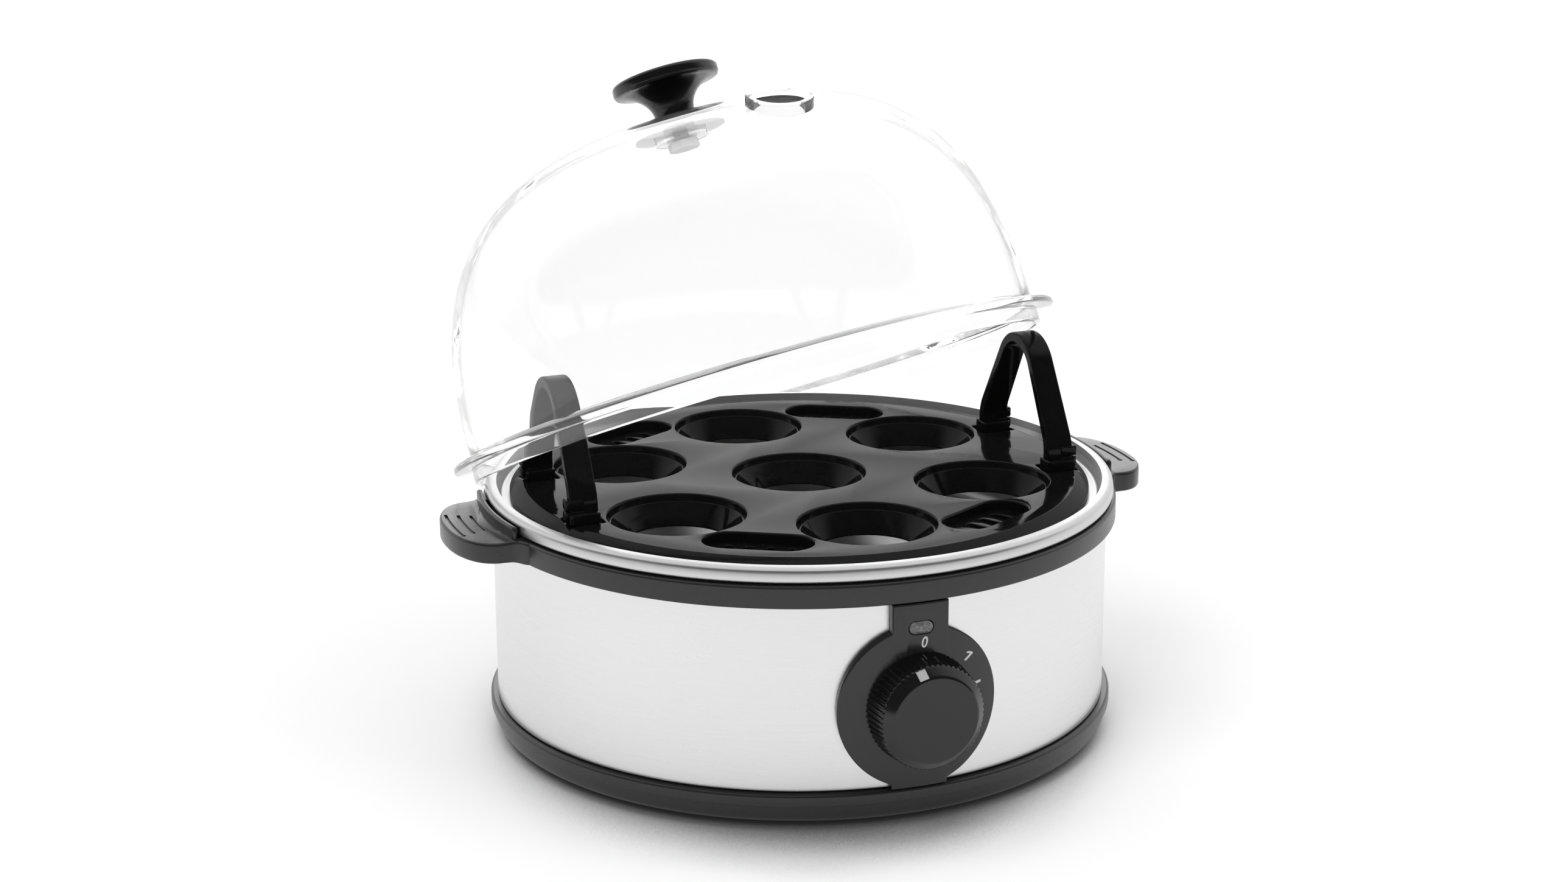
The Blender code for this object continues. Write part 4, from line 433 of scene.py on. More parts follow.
LID_TOP = LID_DOME_BASE + LID_RISE
KNOB_WASHER_BOTTOM = LID_TOP + GAP
KNOB_BOTTOM = KNOB_WASHER_BOTTOM + KNOB_WASHER_HEIGHT + GAP


# Shapes

def added(name, data):
    """Put an object into the scene."""
    made = bpy.data.objects.new(name, data)
    bpy.context.scene.collection.objects.link(made)
    return made


def taken(thing, *others):
    """Give an object's finished mesh and clear away what made it."""
    graph = bpy.context.evaluated_depsgraph_get()
    mesh = bpy.data.meshes.new_from_object(thing.evaluated_get(graph))
    for used in (thing, *others):
        bpy.data.objects.remove(used, do_unlink=True)
    return mesh


def opened(*meshes):
    """Start a bmesh with what some meshes hold."""
    shape = bmesh.new()
    for mesh in meshes:
        shape.from_mesh(mesh)
    return shape


def written(shape, mesh):
    """Write a bmesh into a mesh and hand the mesh back."""
    shape.to_mesh(mesh)
    shape.free()
    return mesh


def mesh_from(shape):
    """Turn a bmesh into a mesh with its faces pointing out."""
    bmesh.ops.recalc_face_normals(shape, faces=shape.faces)
    return written(shape, bpy.data.meshes.new("shape"))


def angles(first, sweep, steps):
    """Give the two ends of a turn and the steps between them."""
    return [first + sweep * step / steps for step in range(steps + 1)]


def around(count, first=0.0):
    """Give evenly spaced angles about Z."""
    return angles(first, 2 * pi, count)[:-1]


def at(radius, angle):
    """Give the point at a radius and an angle about Z."""
    return (radius * cos(angle), radius * sin(angle))


def arc(radius, height, turns):
    """Give the points of an upright arc whose centre is at a height."""
    return [(radius * cos(turn), height + radius * sin(turn)) for turn in turns]


def quarter(steps):
    """Give the cosines and sines of a quarter turn, from (1, 0) to (0, 1)."""
    return [(cos(turn), sin(turn)) for turn in angles(0, pi / 2, steps)]


def rounded(corners, step_angle=ROUND_STEP):
    """Round each corner of an outline that has a radius as its third value."""
    points = []
    for index, corner in enumerate(corners):
        here = Vector(corner[:2])
        if len(corner) == 2:
            points.append(here)
            continue
        before = Vector(corners[index - 1][:2]) - here
        after = Vector(corners[(index + 1) % len(corners)][:2]) - here
        half_turn = before.angle(after) / 2
        reach = min(corner[2] / tan(half_turn), min(before.length, after.length) * ROUND_SHARE)
        radius = reach * tan(half_turn)
        inward = (before.normalized() + after.normalized()).normalized()
        centre = here + inward * (radius / sin(half_turn))
        start = here + before.normalized() * reach - centre
        end = here + after.normalized() * reach - centre
        sweep = pi - 2 * half_turn
        if start.x * end.y - start.y * end.x < 0:
            sweep = -sweep
        steps = max(2, ceil(abs(sweep) / step_angle))
        points += [centre + Matrix.Rotation(turn, 2) @ start for turn in angles(0, sweep, steps)]
    return points


def skin(shape, rows):
    """Join neighbouring closed rows of points with faces."""
    for row, follower in zip(rows, rows[1:]):
        for side in range(len(row)):
            after = (side + 1) % len(row)
            shape.faces.new((row[side], row[after], follower[after], follower[side]))


def loft(rings, hoop=False):
    """Skin rings of equally many points, with ends filled or joined to a hoop."""
    shape = bmesh.new()
    rows = [[shape.verts.new(point) for point in ring] for ring in rings]
    if hoop:
        skin(shape, rows + rows[:1])
    else:
        skin(shape, rows)
        shape.faces.new(rows[0])
        shape.faces.new(rows[-1])
    return mesh_from(shape)


def lathe(outline, sides=RING_SIDES):
    """Turn (radius, height) points about Z; solid if the first is on the axis."""
    solid = outline[0][0] == 0
    return loft([
        [(*at(radius, angle), height) for angle in around(sides)]
        for radius, height in (outline[1:-1] if solid else outline)
    ], not solid)


def spun(*corners, sides=RING_SIDES):
    """Turn an outline with rounded corners about Z."""
    return lathe(rounded(corners), sides)


def stacked(outline_at, levels):
    """Skin outlines, each drawn for the inset and height of a level."""
    return loft([[(x, y, height) for x, y in outline_at(inset)] for inset, height in levels])


def prism(outline, low, high):
    """Extrude a flat outline along Z."""
    return loft([[(x, y, height) for x, y in outline] for height in (low, high)])


def sector(outline, half_angle, middle):
    """Sweep (radius, height) points about Z through twice the half angle."""
    steps = max(2, ceil(half_angle * RING_SIDES / pi))
    return loft([
        [(*at(radius, angle), height) for radius, height in outline]
        for angle in angles(middle - half_angle, 2 * half_angle, steps)
    ])


def slab(outline, centre, low, high, edge, lift=lambda place: 0.0):
    """Make a plate with rounded edges, rising from its plan by lift."""
    rows = [(share, edge, high) for share in SLAB_RING_SHARES]
    rows += [(1.0, edge * (1 - up), high - edge * (1 - out)) for out, up in quarter(EDGE_STEPS)]
    rows += [(1.0, edge * (1 - out), low + edge * (1 - up)) for out, up in quarter(EDGE_STEPS)]
    shape = bmesh.new()
    rings = []
    for share, inset, height in rows:
        ring = []
        for point in outline:
            way = Vector(point) - centre
            place = centre + way * ((way.length - inset) * share / way.length)
            rise = lift(place) if height > (low + high) / 2 else 0.0
            ring.append(shape.verts.new((place.x, place.y, height + rise)))
        rings.append(ring)
    skin(shape, rings)
    middle = shape.verts.new((centre.x, centre.y, high + lift(centre)))
    for side, corner in enumerate(rings[0]):
        shape.faces.new((middle, corner, rings[0][(side + 1) % len(outline)]))
    shape.faces.new(rings[-1])
    return mesh_from(shape)


def section(inner, outer, low, high):
    """Give a plain rectangle."""
    return [(inner, low), (outer, low), (outer, high), (inner, high)]


def round_section(inner, outer, low, high, corner):
    """Give a rectangle with round corners."""
    return rounded([(*point, corner) for point in section(inner, outer, low, high)])


def rod(radius, low, high, sides=SMALL_SIDES):
    """Make a plain cylinder on Z."""
    return lathe(section(0, radius, low, high), sides)


def stadium(length, width):
    """Give the outline of a slot with round ends, along X."""
    radius = width / 2
    middle = length / 2 - radius
    turns = [pi * (step / SLOT_STEPS - 0.5) for step in range(SLOT_STEPS + 1)]
    return [
        (side * (middle + radius * cos(turn)), side * radius * sin(turn))
        for side in (1, -1) for turn in turns
    ]


def stadium_at(length, width):
    """Give a slot's outline as a function of how far it has grown."""
    return lambda grow: stadium(length + 2 * grow, width + 2 * grow)


def moved(mesh, matrix):
    """Transform a mesh and hand it back."""
    mesh.transform(matrix)
    return mesh


def shifted(mesh, x=0.0, y=0.0, z=0.0):
    """Move a mesh and hand it back."""
    return moved(mesh, Matrix.Translation((x, y, z)))


def turned(mesh, angle, axis='Z'):
    """Turn a mesh about one axis and hand it back."""
    return moved(mesh, Matrix.Rotation(angle, 4, axis))


def front(mesh, height):
    """Point a mesh's Z out of the front, at a height."""
    return shifted(turned(mesh, pi / 2, 'X'), z=height)


def back(mesh, height):
    """Point a mesh's Z out of the back, at a height."""
    return shifted(turned(mesh, -pi / 2, 'X'), z=height)


def combined(mesh, tools, operation):
    """Apply one exact boolean with tools that stand clear of each other."""
    body = added("body", mesh)
    other = added("other", mesh_from(opened(*tools)))
    modifier = body.modifiers.new("shape", 'BOOLEAN')
    modifier.operation = operation
    modifier.solver = 'EXACT'
    modifier.object = other
    return taken(body, other)


def cut(mesh, *tools):
    """Cut shapes out of a mesh."""
    return combined(mesh, tools, 'DIFFERENCE')


def fused(mesh, *tools):
    """Fuse shapes to a mesh."""
    return combined(mesh, tools, 'UNION')


def smooth_line(points, steps):
    """Run a smooth curve through points, with steps between neighbours."""
    stops = [Vector(point) for point in (points[0], *points, points[-1])]
    line = []
    for a, b, c, d in zip(stops, stops[1:], stops[2:], stops[3:]):
        line += [
            b + (c - a) * (t / 2) + (a * 2 - b * 5 + c * 4 - d) * (t * t / 2)
            + (b * 3 - a - c * 3 + d) * (t ** 3 / 2)
            for t in angles(0, 1, steps)[:-1]
        ]
    return line + stops[-1:]


def headings(points):
    """Give each point of a path with the path's direction there."""
    neighbours = zip(points[:1] + points, points, points[1:] + points[-1:])
    return [(point, (after - before).normalized()) for before, point, after in neighbours]


def tube(points, radius, sides):
    """Sweep a circle along a path of points."""
    rings = []
    normal = None
    for point, along in headings(points):
        if normal is None:
            normal = along.orthogonal().normalized()
        normal = (normal - along * normal.dot(along)).normalized()
        across = along.cross(normal)
        circle = [at(radius, angle) for angle in around(sides)]
        rings.append([point + normal * x + across * y for x, y in circle])
    return loft(rings)


# Finishes

def fill(made, inputs):
    """Put values into a node's inputs, or links from sockets."""
    for name, value in inputs.items():
        if isinstance(value, bpy.types.NodeSocket):
            made.id_data.links.new(value, made.inputs[name])
        else:
            made.inputs[name].default_value = value
    return made


def node(tree, kind, inputs=()):
    """Add a node with values or links in its inputs."""
    return fill(tree.nodes.new("ShaderNode" + kind), dict(inputs))


def mixed(tree, share, first, second):
    """Mix two colours by a share."""
    made = node(tree, "Mix")
    made.data_type = 'RGBA'
    return fill(made, {0: share, 6: first, 7: second}).outputs[2]


def worked(tree, operation, first, second):
    """Work one number out of two."""
    made = node(tree, "Math")
    made.operation = operation
    return fill(made, {0: first, 1: second}).outputs[0]


def triple(value):
    """Give three values as they are, or one value three times."""
    return value if isinstance(value, tuple) else (value, value, value)


def opaque(colour):
    """Give a colour's four values."""
    return (*triple(colour), 1.0)


looks = {}


def finish(name, colour, roughness, stretch, detail, colours, roughnesses, depth,
           sharpness=0.5, **constants):
    """Make a material whose colour, roughness and height follow one stretched noise.

    A colour is a grey level or three values. The first is for where no noise is read.
    """
    looks[name] = made = bpy.data.materials.new(name)
    made.use_nodes = True
    tree = made.node_tree
    shader = tree.nodes["Principled BSDF"]
    place = node(tree, "TexCoord").outputs["Object"]
    mapping = node(tree, "Mapping", {"Vector": place, "Scale": triple(stretch)})
    noise = node(tree, "TexNoise", {
        "Vector": mapping.outputs["Vector"], "Scale": 1.0, "Detail": detail,
        "Roughness": sharpness,
    }).outputs["Fac"]
    spread = node(tree, "MapRange", {
        "Value": noise, "From Min": NOISE_LOW, "From Max": NOISE_HIGH,
        "To Min": roughnesses[0], "To Max": roughnesses[1],
    })
    fill(shader, {"Base Color": opaque(colour), "Roughness": roughness})
    fill(shader, {socket.replace("_", " "): value for socket, value in constants.items()})
    fill(shader, {"Roughness": spread.outputs["Result"]})
    if colours:
        fill(shader, {"Base Color": mixed(tree, noise, *map(opaque, colours))})
    if depth:
        bump = node(tree, "Bump", {"Height": noise, "Strength": 1.0, "Distance": depth})
        fill(shader, {"Normal": bump.outputs["Normal"]})


def pass_lamps(name):
    """Let lamps shine through a clear material without a dark shadow."""
    tree = looks[name].node_tree
    clear = node(tree, "BsdfTransparent", {"Color": opaque(CLEAR_SHADOW)})
    mix = node(tree, "MixShader", {
        0: node(tree, "LightPath").outputs["Is Shadow Ray"],
        1: tree.nodes["Principled BSDF"].outputs["BSDF"], 2: clear.outputs["BSDF"],
    })
    fill(tree.nodes["Material Output"], {"Surface": mix.outputs["Shader"]})


finish("black_plastic", 0.014, 0.3, 2600.0, 2.0, (0.012, 0.016), (0.27, 0.33), 0.0015 * MM)
finish("panel_black", 0.013, 0.18, 2600.0, 2.0, (0.011, 0.015), (0.13, 0.23), 0.008 * MM)
finish("gloss_black", 0.004, 0.3, 300.0, 3.0, (0.003, 0.005), (0.25, 0.35), 0.01 * MM,
       Specular_IOR_Level=0.0, Coat_Weight=0.28, Coat_Roughness=0.08)
finish("knob_black", 0.005, 0.18, 2600.0, 2.0, (0.004, 0.006), (0.14, 0.22), 0.005 * MM)
finish("brushed_wall", 0.76, 0.3, (45.0, 45.0, 3600.0), 4.0, (0.71, 0.81), (0.26, 0.34),
       0.006 * MM, 0.6, Metallic=1.0)
finish("bowl_steel", 0.66, 0.34, (60.0, 60.0, 2400.0), 3.0, (0.60, 0.72), (0.36, 0.46),
       0.004 * MM, 0.6, Metallic=1.0)
finish("cast_aluminium", 0.55, 0.5, 900.0, 4.0, (0.50, 0.60), (0.42, 0.6), 0.05 * MM,
       Metallic=1.0)
finish("pale_nylon", 0.93, 0.5, 700.0, 2.0, (0.90, 0.96), (0.42, 0.58), 0.005 * MM)
finish("zinc_steel", (0.62, 0.63, 0.66), 0.35, 500.0, 3.0,
       ((0.56, 0.57, 0.60), (0.68, 0.69, 0.70)), (0.26, 0.42), 0.01 * MM, Metallic=1.0)
finish("rubber", 0.02, 0.8, 1500.0, 3.0, (0.016, 0.028), (0.7, 0.9), 0.03 * MM)
finish("silicone", (0.6, 0.58, 0.55), 0.5, 700.0, 2.0,
       ((0.56, 0.54, 0.51), (0.64, 0.62, 0.59)), (0.42, 0.56), 0.02 * MM)
finish("white_plastic", (0.8, 0.8, 0.79), 0.4, 1200.0, 2.0,
       ((0.76, 0.76, 0.75), (0.84, 0.84, 0.83)), (0.34, 0.46), 0.01 * MM)
finish("pointer_white", 0.4, 0.4, 1200.0, 2.0, (0.36, 0.43), (0.34, 0.46), 0.01 * MM)
finish("mark_ink", 0.62, 0.5, 3000.0, 3.0, (0.50, 0.70), (0.45, 0.6), 0.01 * MM)
finish("clear_plastic", 1.0, 0.0, 90.0, 4.0, None, (0.0, 0.03), 0.0,
       Transmission_Weight=0.965, IOR=1.13, Coat_Weight=0.55, Coat_Roughness=0.01,
       Coat_IOR=1.45)
finish("lens_plastic", 0.7, 0.05, 1000.0, 1.0, (0.0, 1.0), (0.02, 0.1), 0.3 * MM,
       Transmission_Weight=0.75, IOR=1.49)
finish("neon_glass", (0.85, 0.83, 0.80), 0.15, 1600.0, 2.0,
       ((0.55, 0.53, 0.50), (0.95, 0.94, 0.92)), (0.05, 0.3), 0.02 * MM)
pass_lamps("clear_plastic")
pass_lamps("lens_plastic")


def piece(name, mesh, body, look, *nodes, slot=None):
    """Make one shown piece, riding a body in place of its CAD nodes."""
    shape = opened(mesh)
    bmesh.ops.remove_doubles(shape, verts=shape.verts, dist=WELD)
    written(shape, mesh)
    mesh.name = name
    mesh.materials.clear()
    mesh.materials.append(looks[look])
    mesh.shade_smooth()
    mesh.set_sharp_from_angle(angle=SMOOTH_ANGLE)
    made = added(name, mesh)
    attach(made, body)
    if nodes:
        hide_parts(*nodes)


def dress(look, *names):
    """Give carried-over CAD nodes their finish."""
    for name in names:
        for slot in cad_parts[name].material_slots:
            slot.material = looks[look]


# Housing

def base_mesh():
    """Make the base dish with its posts, recesses and air slots."""
    flank_height = BASE_LEDGE - BASE_BOTTOM - BASE_BAND
    flank = [
        (BASE_RADIUS - BASE_STEP - BASE_FLANK * inward, BASE_BOTTOM + flank_height * up)
        for inward, up in smooth_line(BASE_FLANK_SHARES, CURVE_STEPS)
    ]
    body = spun(
        (0, BASE_BOTTOM), *flank,
        (BASE_RADIUS, BASE_BOTTOM + flank_height + BASE_STEP / 2, BASE_STEP / 4),
        (BASE_RADIUS, BASE_LEDGE, EDGE_ROUND), (UPSTAND_OUTER, BASE_LEDGE),
        (UPSTAND_OUTER, BASE_LEDGE + UPSTAND_HEIGHT), (UPSTAND_INNER, BASE_LEDGE + UPSTAND_HEIGHT),
        (UPSTAND_INNER, FLOOR_TOP, EDGE_ROUND), (0, FLOOR_TOP),
    )
    root = FLOOR_TOP - BASE_FLOOR / 2
    below = BASE_BOTTOM - OVERRUN
    shoulder = POST_TOP - POST_SHOULDER
    bore = [
        (0, below), (SCREW_HEAD_RADIUS + FIT_PLAY, below), (SCREW_HEAD_RADIUS + FIT_PLAY, shoulder),
        (SCREW_RADIUS + GAP, shoulder), (SCREW_RADIUS + GAP, POST_TOP + OVERRUN),
        (0, POST_TOP + OVERRUN),
    ]
    places = [at(POST_PLACE, angle) for angle in around(4, pi / 4)]
    posts = [shifted(rod(POST_RADIUS, root, POST_TOP), *place) for place in places]
    tools = [shifted(lathe(bore, SMALL_SIDES), *place) for place in places]
    boss_top = FLOOR_TOP + TERMINAL_BOSS_HEIGHT
    posts.append(shifted(rod(TERMINAL_BOSS_RADIUS, root, boss_top), y=TERMINAL_PLACE))
    screw_way = rod(TERMINAL_SCREW_RADIUS + GAP, root, boss_top + OVERRUN)
    tools.append(shifted(screw_way, y=TERMINAL_PLACE))
    for angle in around(4):
        recess = rod(FOOT_RADIUS + GAP, below, FOOT_TOP + GAP, CUP_SIDES)
        tools.append(shifted(recess, *at(FOOT_PLACE, angle)))
    for angle in around(INTAKE_COUNT, pi / INTAKE_COUNT):
        slot = prism(stadium(INTAKE_LENGTH, INTAKE_WIDTH), below, FLOOR_TOP + OVERRUN)
        tools.append(turned(shifted(slot, x=INTAKE_PLACE), angle))
    return cut(fused(body, *posts), *tools)


def boss_rods(radius, low, high):
    """Make a rod on the axis of each of the panel's two bosses."""
    return [
        front(shifted(rod(radius, low, high), x=side * PANEL_BOSS_PLACE), DIAL_HEIGHT)
        for side in (-1, 1)
    ]


def wall_mesh():
    """Make the brushed band with the holes behind panel and gland."""
    band = spun(
        (WALL_RADIUS, WALL_BOTTOM, WALL_EDGE), (WALL_RADIUS, WALL_TOP, WALL_EDGE),
        (WALL_INNER, WALL_TOP), (WALL_INNER, WALL_BOTTOM),
    )
    reach = (BOSS_BACK, WALL_RADIUS + OVERRUN)
    slot = prism(stadium(LENS_LENGTH + FIT_PLAY, LENS_WIDTH + FIT_PLAY), *reach)
    return cut(
        band, front(rod(SHAFT_RADIUS + FIT_PLAY + GAP, *reach), DIAL_HEIGHT),
        *boss_rods(PANEL_BOSS_RADIUS + FIT_PLAY, *reach), front(slot, LENS_HEIGHT),
        back(rod(GLAND_STEM_RADIUS + GAP, *reach), GLAND_HEIGHT),
    )


def ear_outline():
    """Give the plan of the right ear."""
    half = [tuple(point) for point in smooth_line(EAR_SHAPE_SHARES, EAR_STEPS)]
    edge = [(share, -width) for share, width in half] + half[-2::-1]
    return [
        at(COLLAR_RADIUS + EAR_REACH * share, EAR_HALF_ANGLE * width) for share, width in edge
    ]


def eased(share):
    """Keep a share between 0 and 1, and ease it in and out."""
    share = min(1.0, max(0.0, share))
    return share * share * (3 - 2 * share)


def ear_lift(place):
    """Give how far the ear rises above its flat part at a place."""
    out = place.length - COLLAR_RADIUS
    side = abs(atan2(place.y, abs(place.x)))
    crest = eased(1 - max(out, 0.0) / EAR_CREST_REACH)
    flank = eased((side / EAR_HALF_ANGLE - EAR_FLANK_START) / EAR_FLANK_SPREAD)
    hollow = max(0.0, 1 - max(out - FENCE_WIDTH, 0.0) / EAR_HOLLOW_REACH)
    rise = EAR_HOLLOW_RISE * hollow ** EAR_HOLLOW_POWER * (1 - flank)
    return (COLLAR_TOP - EAR_TOP) * crest * flank + rise


def fence_mesh(middle):
    """Make the low fence between an ear and the rim."""
    outer = COLLAR_RADIUS + FENCE_WIDTH
    root = EAR_TOP - EAR_THICKNESS / 2
    top = EAR_TOP + FENCE_RISE
    outline = rounded([
        (COLLAR_RADIUS, root), (COLLAR_RADIUS, top, FENCE_EDGE), (outer, top, FENCE_EDGE),
        (outer, root),
    ])
    centre = (COLLAR_RADIUS + outer) / 2
    end = FENCE_END / COLLAR_RADIUS
    turns = [FENCE_HALF_ANGLE - end * (1 - up) for _, up in quarter(FENCE_END_STEPS)]
    turns = [-turn for turn in turns[::-1]] + turns
    rings = []
    for turn in turns:
        over = max(0.0, abs(turn) - (FENCE_HALF_ANGLE - end)) / end
        share = max(FENCE_END_WIDTH_SHARE, sqrt(max(0.0, 1 - over * over)))
        tall = FENCE_END_HEIGHT_SHARE + (1 - FENCE_END_HEIGHT_SHARE) * share
        rings.append([
            (*at(centre + (radius - centre) * share, turn), root + (height - root) * tall)
            for radius, height in outline
        ])
    half = len(rings) // 2
    bridge = [
        [(*at(radius, turn), height) for radius, height in outline]
        for turn in angles(turns[half - 1], turns[half] - turns[half - 1], FENCE_STEPS)[1:-1]
    ]
    return turned(loft(rings[:half] + bridge + rings[half:]), middle)


def groove_mesh(radius, half_angle, end):
    """Make the cutter of one groove in an ear, with a dot at its end."""
    line = tube([
        Vector((*at(radius, half_angle * (step / GROOVE_STEPS - 1)), EAR_TOP - GROOVE_WIDTH / 8))
        for step in range(2 * GROOVE_STEPS + 1)
    ], GROOVE_WIDTH / 2, GROOVE_SIDES)
    dot = rod(GROOVE_DOT, EAR_TOP - GROOVE_WIDTH, EAR_TOP + OVERRUN, DOT_SIDES)
    return fused(line, shifted(dot, *at(radius, end)))


def collar_mesh():
    """Make the collar with its ears, fences, slots, grooves and legs."""
    seal_bottom = SEAL_BOTTOM - SEAL_CLEARANCE
    seal_inner = SEAL_OUTER - SEAL_WIDTH - SEAL_CLEARANCE
    downstand = COLLAR_BOTTOM - COLLAR_DOWNSTAND
    body = spun(
        (COLLAR_RADIUS, COLLAR_BOTTOM, SOFT_EDGE), (COLLAR_RADIUS, COLLAR_TOP, EDGE_ROUND),
        (WALL_INNER, COLLAR_TOP), (WALL_INNER - GAP, COLLAR_FLANGE_TOP),
        (SEAL_OUTER + SEAL_CLEARANCE, COLLAR_FLANGE_TOP),
        (SEAL_OUTER + SEAL_CLEARANCE, seal_bottom), (seal_inner, seal_bottom),
        (seal_inner, COLLAR_FLANGE_TOP), (COLLAR_INNER, COLLAR_FLANGE_TOP),
        (COLLAR_INNER, COLLAR_FLANGE_BOTTOM), (UPSTAND_INNER, COLLAR_FLANGE_BOTTOM),
        (UPSTAND_INNER, downstand), (UPSTAND_OUTER, downstand), (UPSTAND_OUTER, COLLAR_BOTTOM),
    )
    centre = Vector((COLLAR_RADIUS + EAR_REACH * EAR_CENTRE_SHARE, 0.0))
    ear_sizes = (centre, COLLAR_BOTTOM, EAR_TOP, EAR_EDGE, ear_lift)
    ears = [turned(slab(ear_outline(), *ear_sizes), middle) for middle in (0.0, pi)]
    fences = [fence_mesh(middle) for middle in (0.0, pi)]
    grooves = [
        turned(groove_mesh(COLLAR_RADIUS + reach, half_angle, end * half_angle), middle)
        for middle, end in ((0.0, -1), (pi, 1))
        for reach, half_angle in zip(GROOVE_REACHES, GROOVE_HALF_ANGLES)
    ]
    slot = section(
        COLLAR_RADIUS - SLOT_WIDTH, COLLAR_RADIUS, COLLAR_TOP - SLOT_DEPTH, COLLAR_TOP + OVERRUN)
    slots = [sector(slot, SLOT_HALF_ANGLE, middle) for middle in (0.0, pi)]
    places = [at(POST_PLACE, angle) for angle in around(4, pi / 4)]
    leg = (LEG_RADIUS, LEG_BOTTOM, COLLAR_FLANGE_BOTTOM + COLLAR_FLANGE / 3)
    hole = (SCREW_RADIUS + GAP, LEG_BOTTOM - OVERRUN, LEG_BOTTOM + LEG_HOLE_DEPTH)
    legs = [shifted(rod(*leg), *place) for place in places]
    slots += [shifted(rod(*hole), *place) for place in places]
    reach = LENS_SOCKET_RADIUS + FIT_PLAY
    notch_front = -UPSTAND_OUTER - OVERRUN
    notch_back = -WALL_RADIUS + LENS_SOCKET_LENGTH + OVERRUN
    notch = section(-reach, reach, notch_front, notch_back)
    slots.append(prism(notch, downstand - OVERRUN, LENS_HEIGHT + reach))
    whole = fused(fused(fused(body, *ears), *fences), *legs)
    return cut(cut(whole, *slots), *grooves)


def bowl_mesh():
    """Make the pressed steel bowl with its rolled rim."""
    fold = CREST_RADIUS + BOWL_SHEET
    ledge_bottom = LEDGE_TOP - BOWL_SHEET
    bead, lining = [
        [
            (CREST_RADIUS + (RIM_FOLD - sheet) * out, LIP_BOTTOM + (RIM_HEIGHT - sheet) * up)
            for out, up in smooth_line(RIM_BEAD_SHARES, RIM_BEAD_STEPS)
        ]
        for sheet in (0.0, BOWL_SHEET)
    ]
    lining = [point for point in lining if point[0] > fold]
    body = spun(
        (0, BOWL_FLOOR_TOP), (BOWL_FOOT_RADIUS, BOWL_FLOOR_TOP, BOWL_ROUND),
        (LEDGE_INNER, LEDGE_TOP, EDGE_ROUND), (LEDGE_OUTER, LEDGE_TOP, EDGE_ROUND),
        (CREST_RADIUS - RIM_LEAN / 3, (LEDGE_TOP + RIM_TOP) / 2, EDGE_ROUND * 2), *bead,
        *lining[::-1], (fold - GAP / 2, LIP_BOTTOM + RIM_HOLLOW),
        (LEDGE_OUTER + BOWL_SHEET, ledge_bottom), (LEDGE_INNER + BOWL_SHEET, ledge_bottom),
        (BOWL_FOOT_RADIUS + BOWL_SHEET, BOWL_FLOOR_BOTTOM, BOWL_ROUND + BOWL_SHEET),
        (0, BOWL_FLOOR_BOTTOM),
    )
    notch = section(fold, RIM_RADIUS + OVERRUN, LIP_BOTTOM - OVERRUN, LIP_BOTTOM + BOWL_NOTCH)
    return cut(body, *[sector(notch, SLOT_HALF_ANGLE, middle) for middle in (0.0, pi)])


def foot_mesh():
    """Make one rubber foot on its own axis."""
    return spun(
        (0, 0), (FOOT_RADIUS, 0, LIP_EDGE), (FOOT_RADIUS, FOOT_TOP, FINE_EDGE), (0, FOOT_TOP),
        sides=CUP_SIDES,
    )


def gland_mesh():
    """Make the bush in the back wall."""
    outer_face = WALL_RADIUS + GAP
    inner_face = UPSTAND_OUTER - GAP
    return spun(
        (GLAND_BORE, inner_face - GLAND_FLANGE / 2),
        (GLAND_RADIUS, inner_face - GLAND_FLANGE / 2, SOFT_EDGE), (GLAND_RADIUS, inner_face),
        (GLAND_STEM_RADIUS, inner_face), (GLAND_STEM_RADIUS, outer_face),
        (GLAND_RADIUS, outer_face, SOFT_EDGE),
        (GLAND_RADIUS - GLAND_FLANGE / 3, outer_face + GLAND_FLANGE, GLAND_MOUTH_EDGE),
        (GLAND_BORE, outer_face + GLAND_FLANGE, LIP_EDGE), sides=CUP_SIDES,
    )


# Panel, lamp and dial

def keyhole(inset):
    """Give the panel's plan, seen from the front, drawn in by an inset."""
    half_neck = PANEL_NECK_WIDTH / 2 - inset
    circle = PANEL_CIRCLE - inset
    start = acos(half_neck / circle)
    bow = arc(circle, DIAL_HEIGHT, angles(-start, 2 * start, PANEL_STEPS))
    right = [(half_neck, WALL_BOTTOM + inset), *bow, (half_neck, WALL_TOP - inset)]
    return right + [(-x, z) for x, z in right[::-1]]


def unrolled(x):
    """Give a sideways place's distance along the panel's round face."""
    return asin(x / PANEL_OUTER) * PANEL_OUTER


def wrapped(mesh):
    """Bend a flat mesh in front of the housing round its axis."""
    for vertex in mesh.vertices:
        radius = -vertex.co.y
        angle = vertex.co.x / PANEL_OUTER
        vertex.co = (radius * sin(angle), -radius * cos(angle), vertex.co.z)
    return mesh


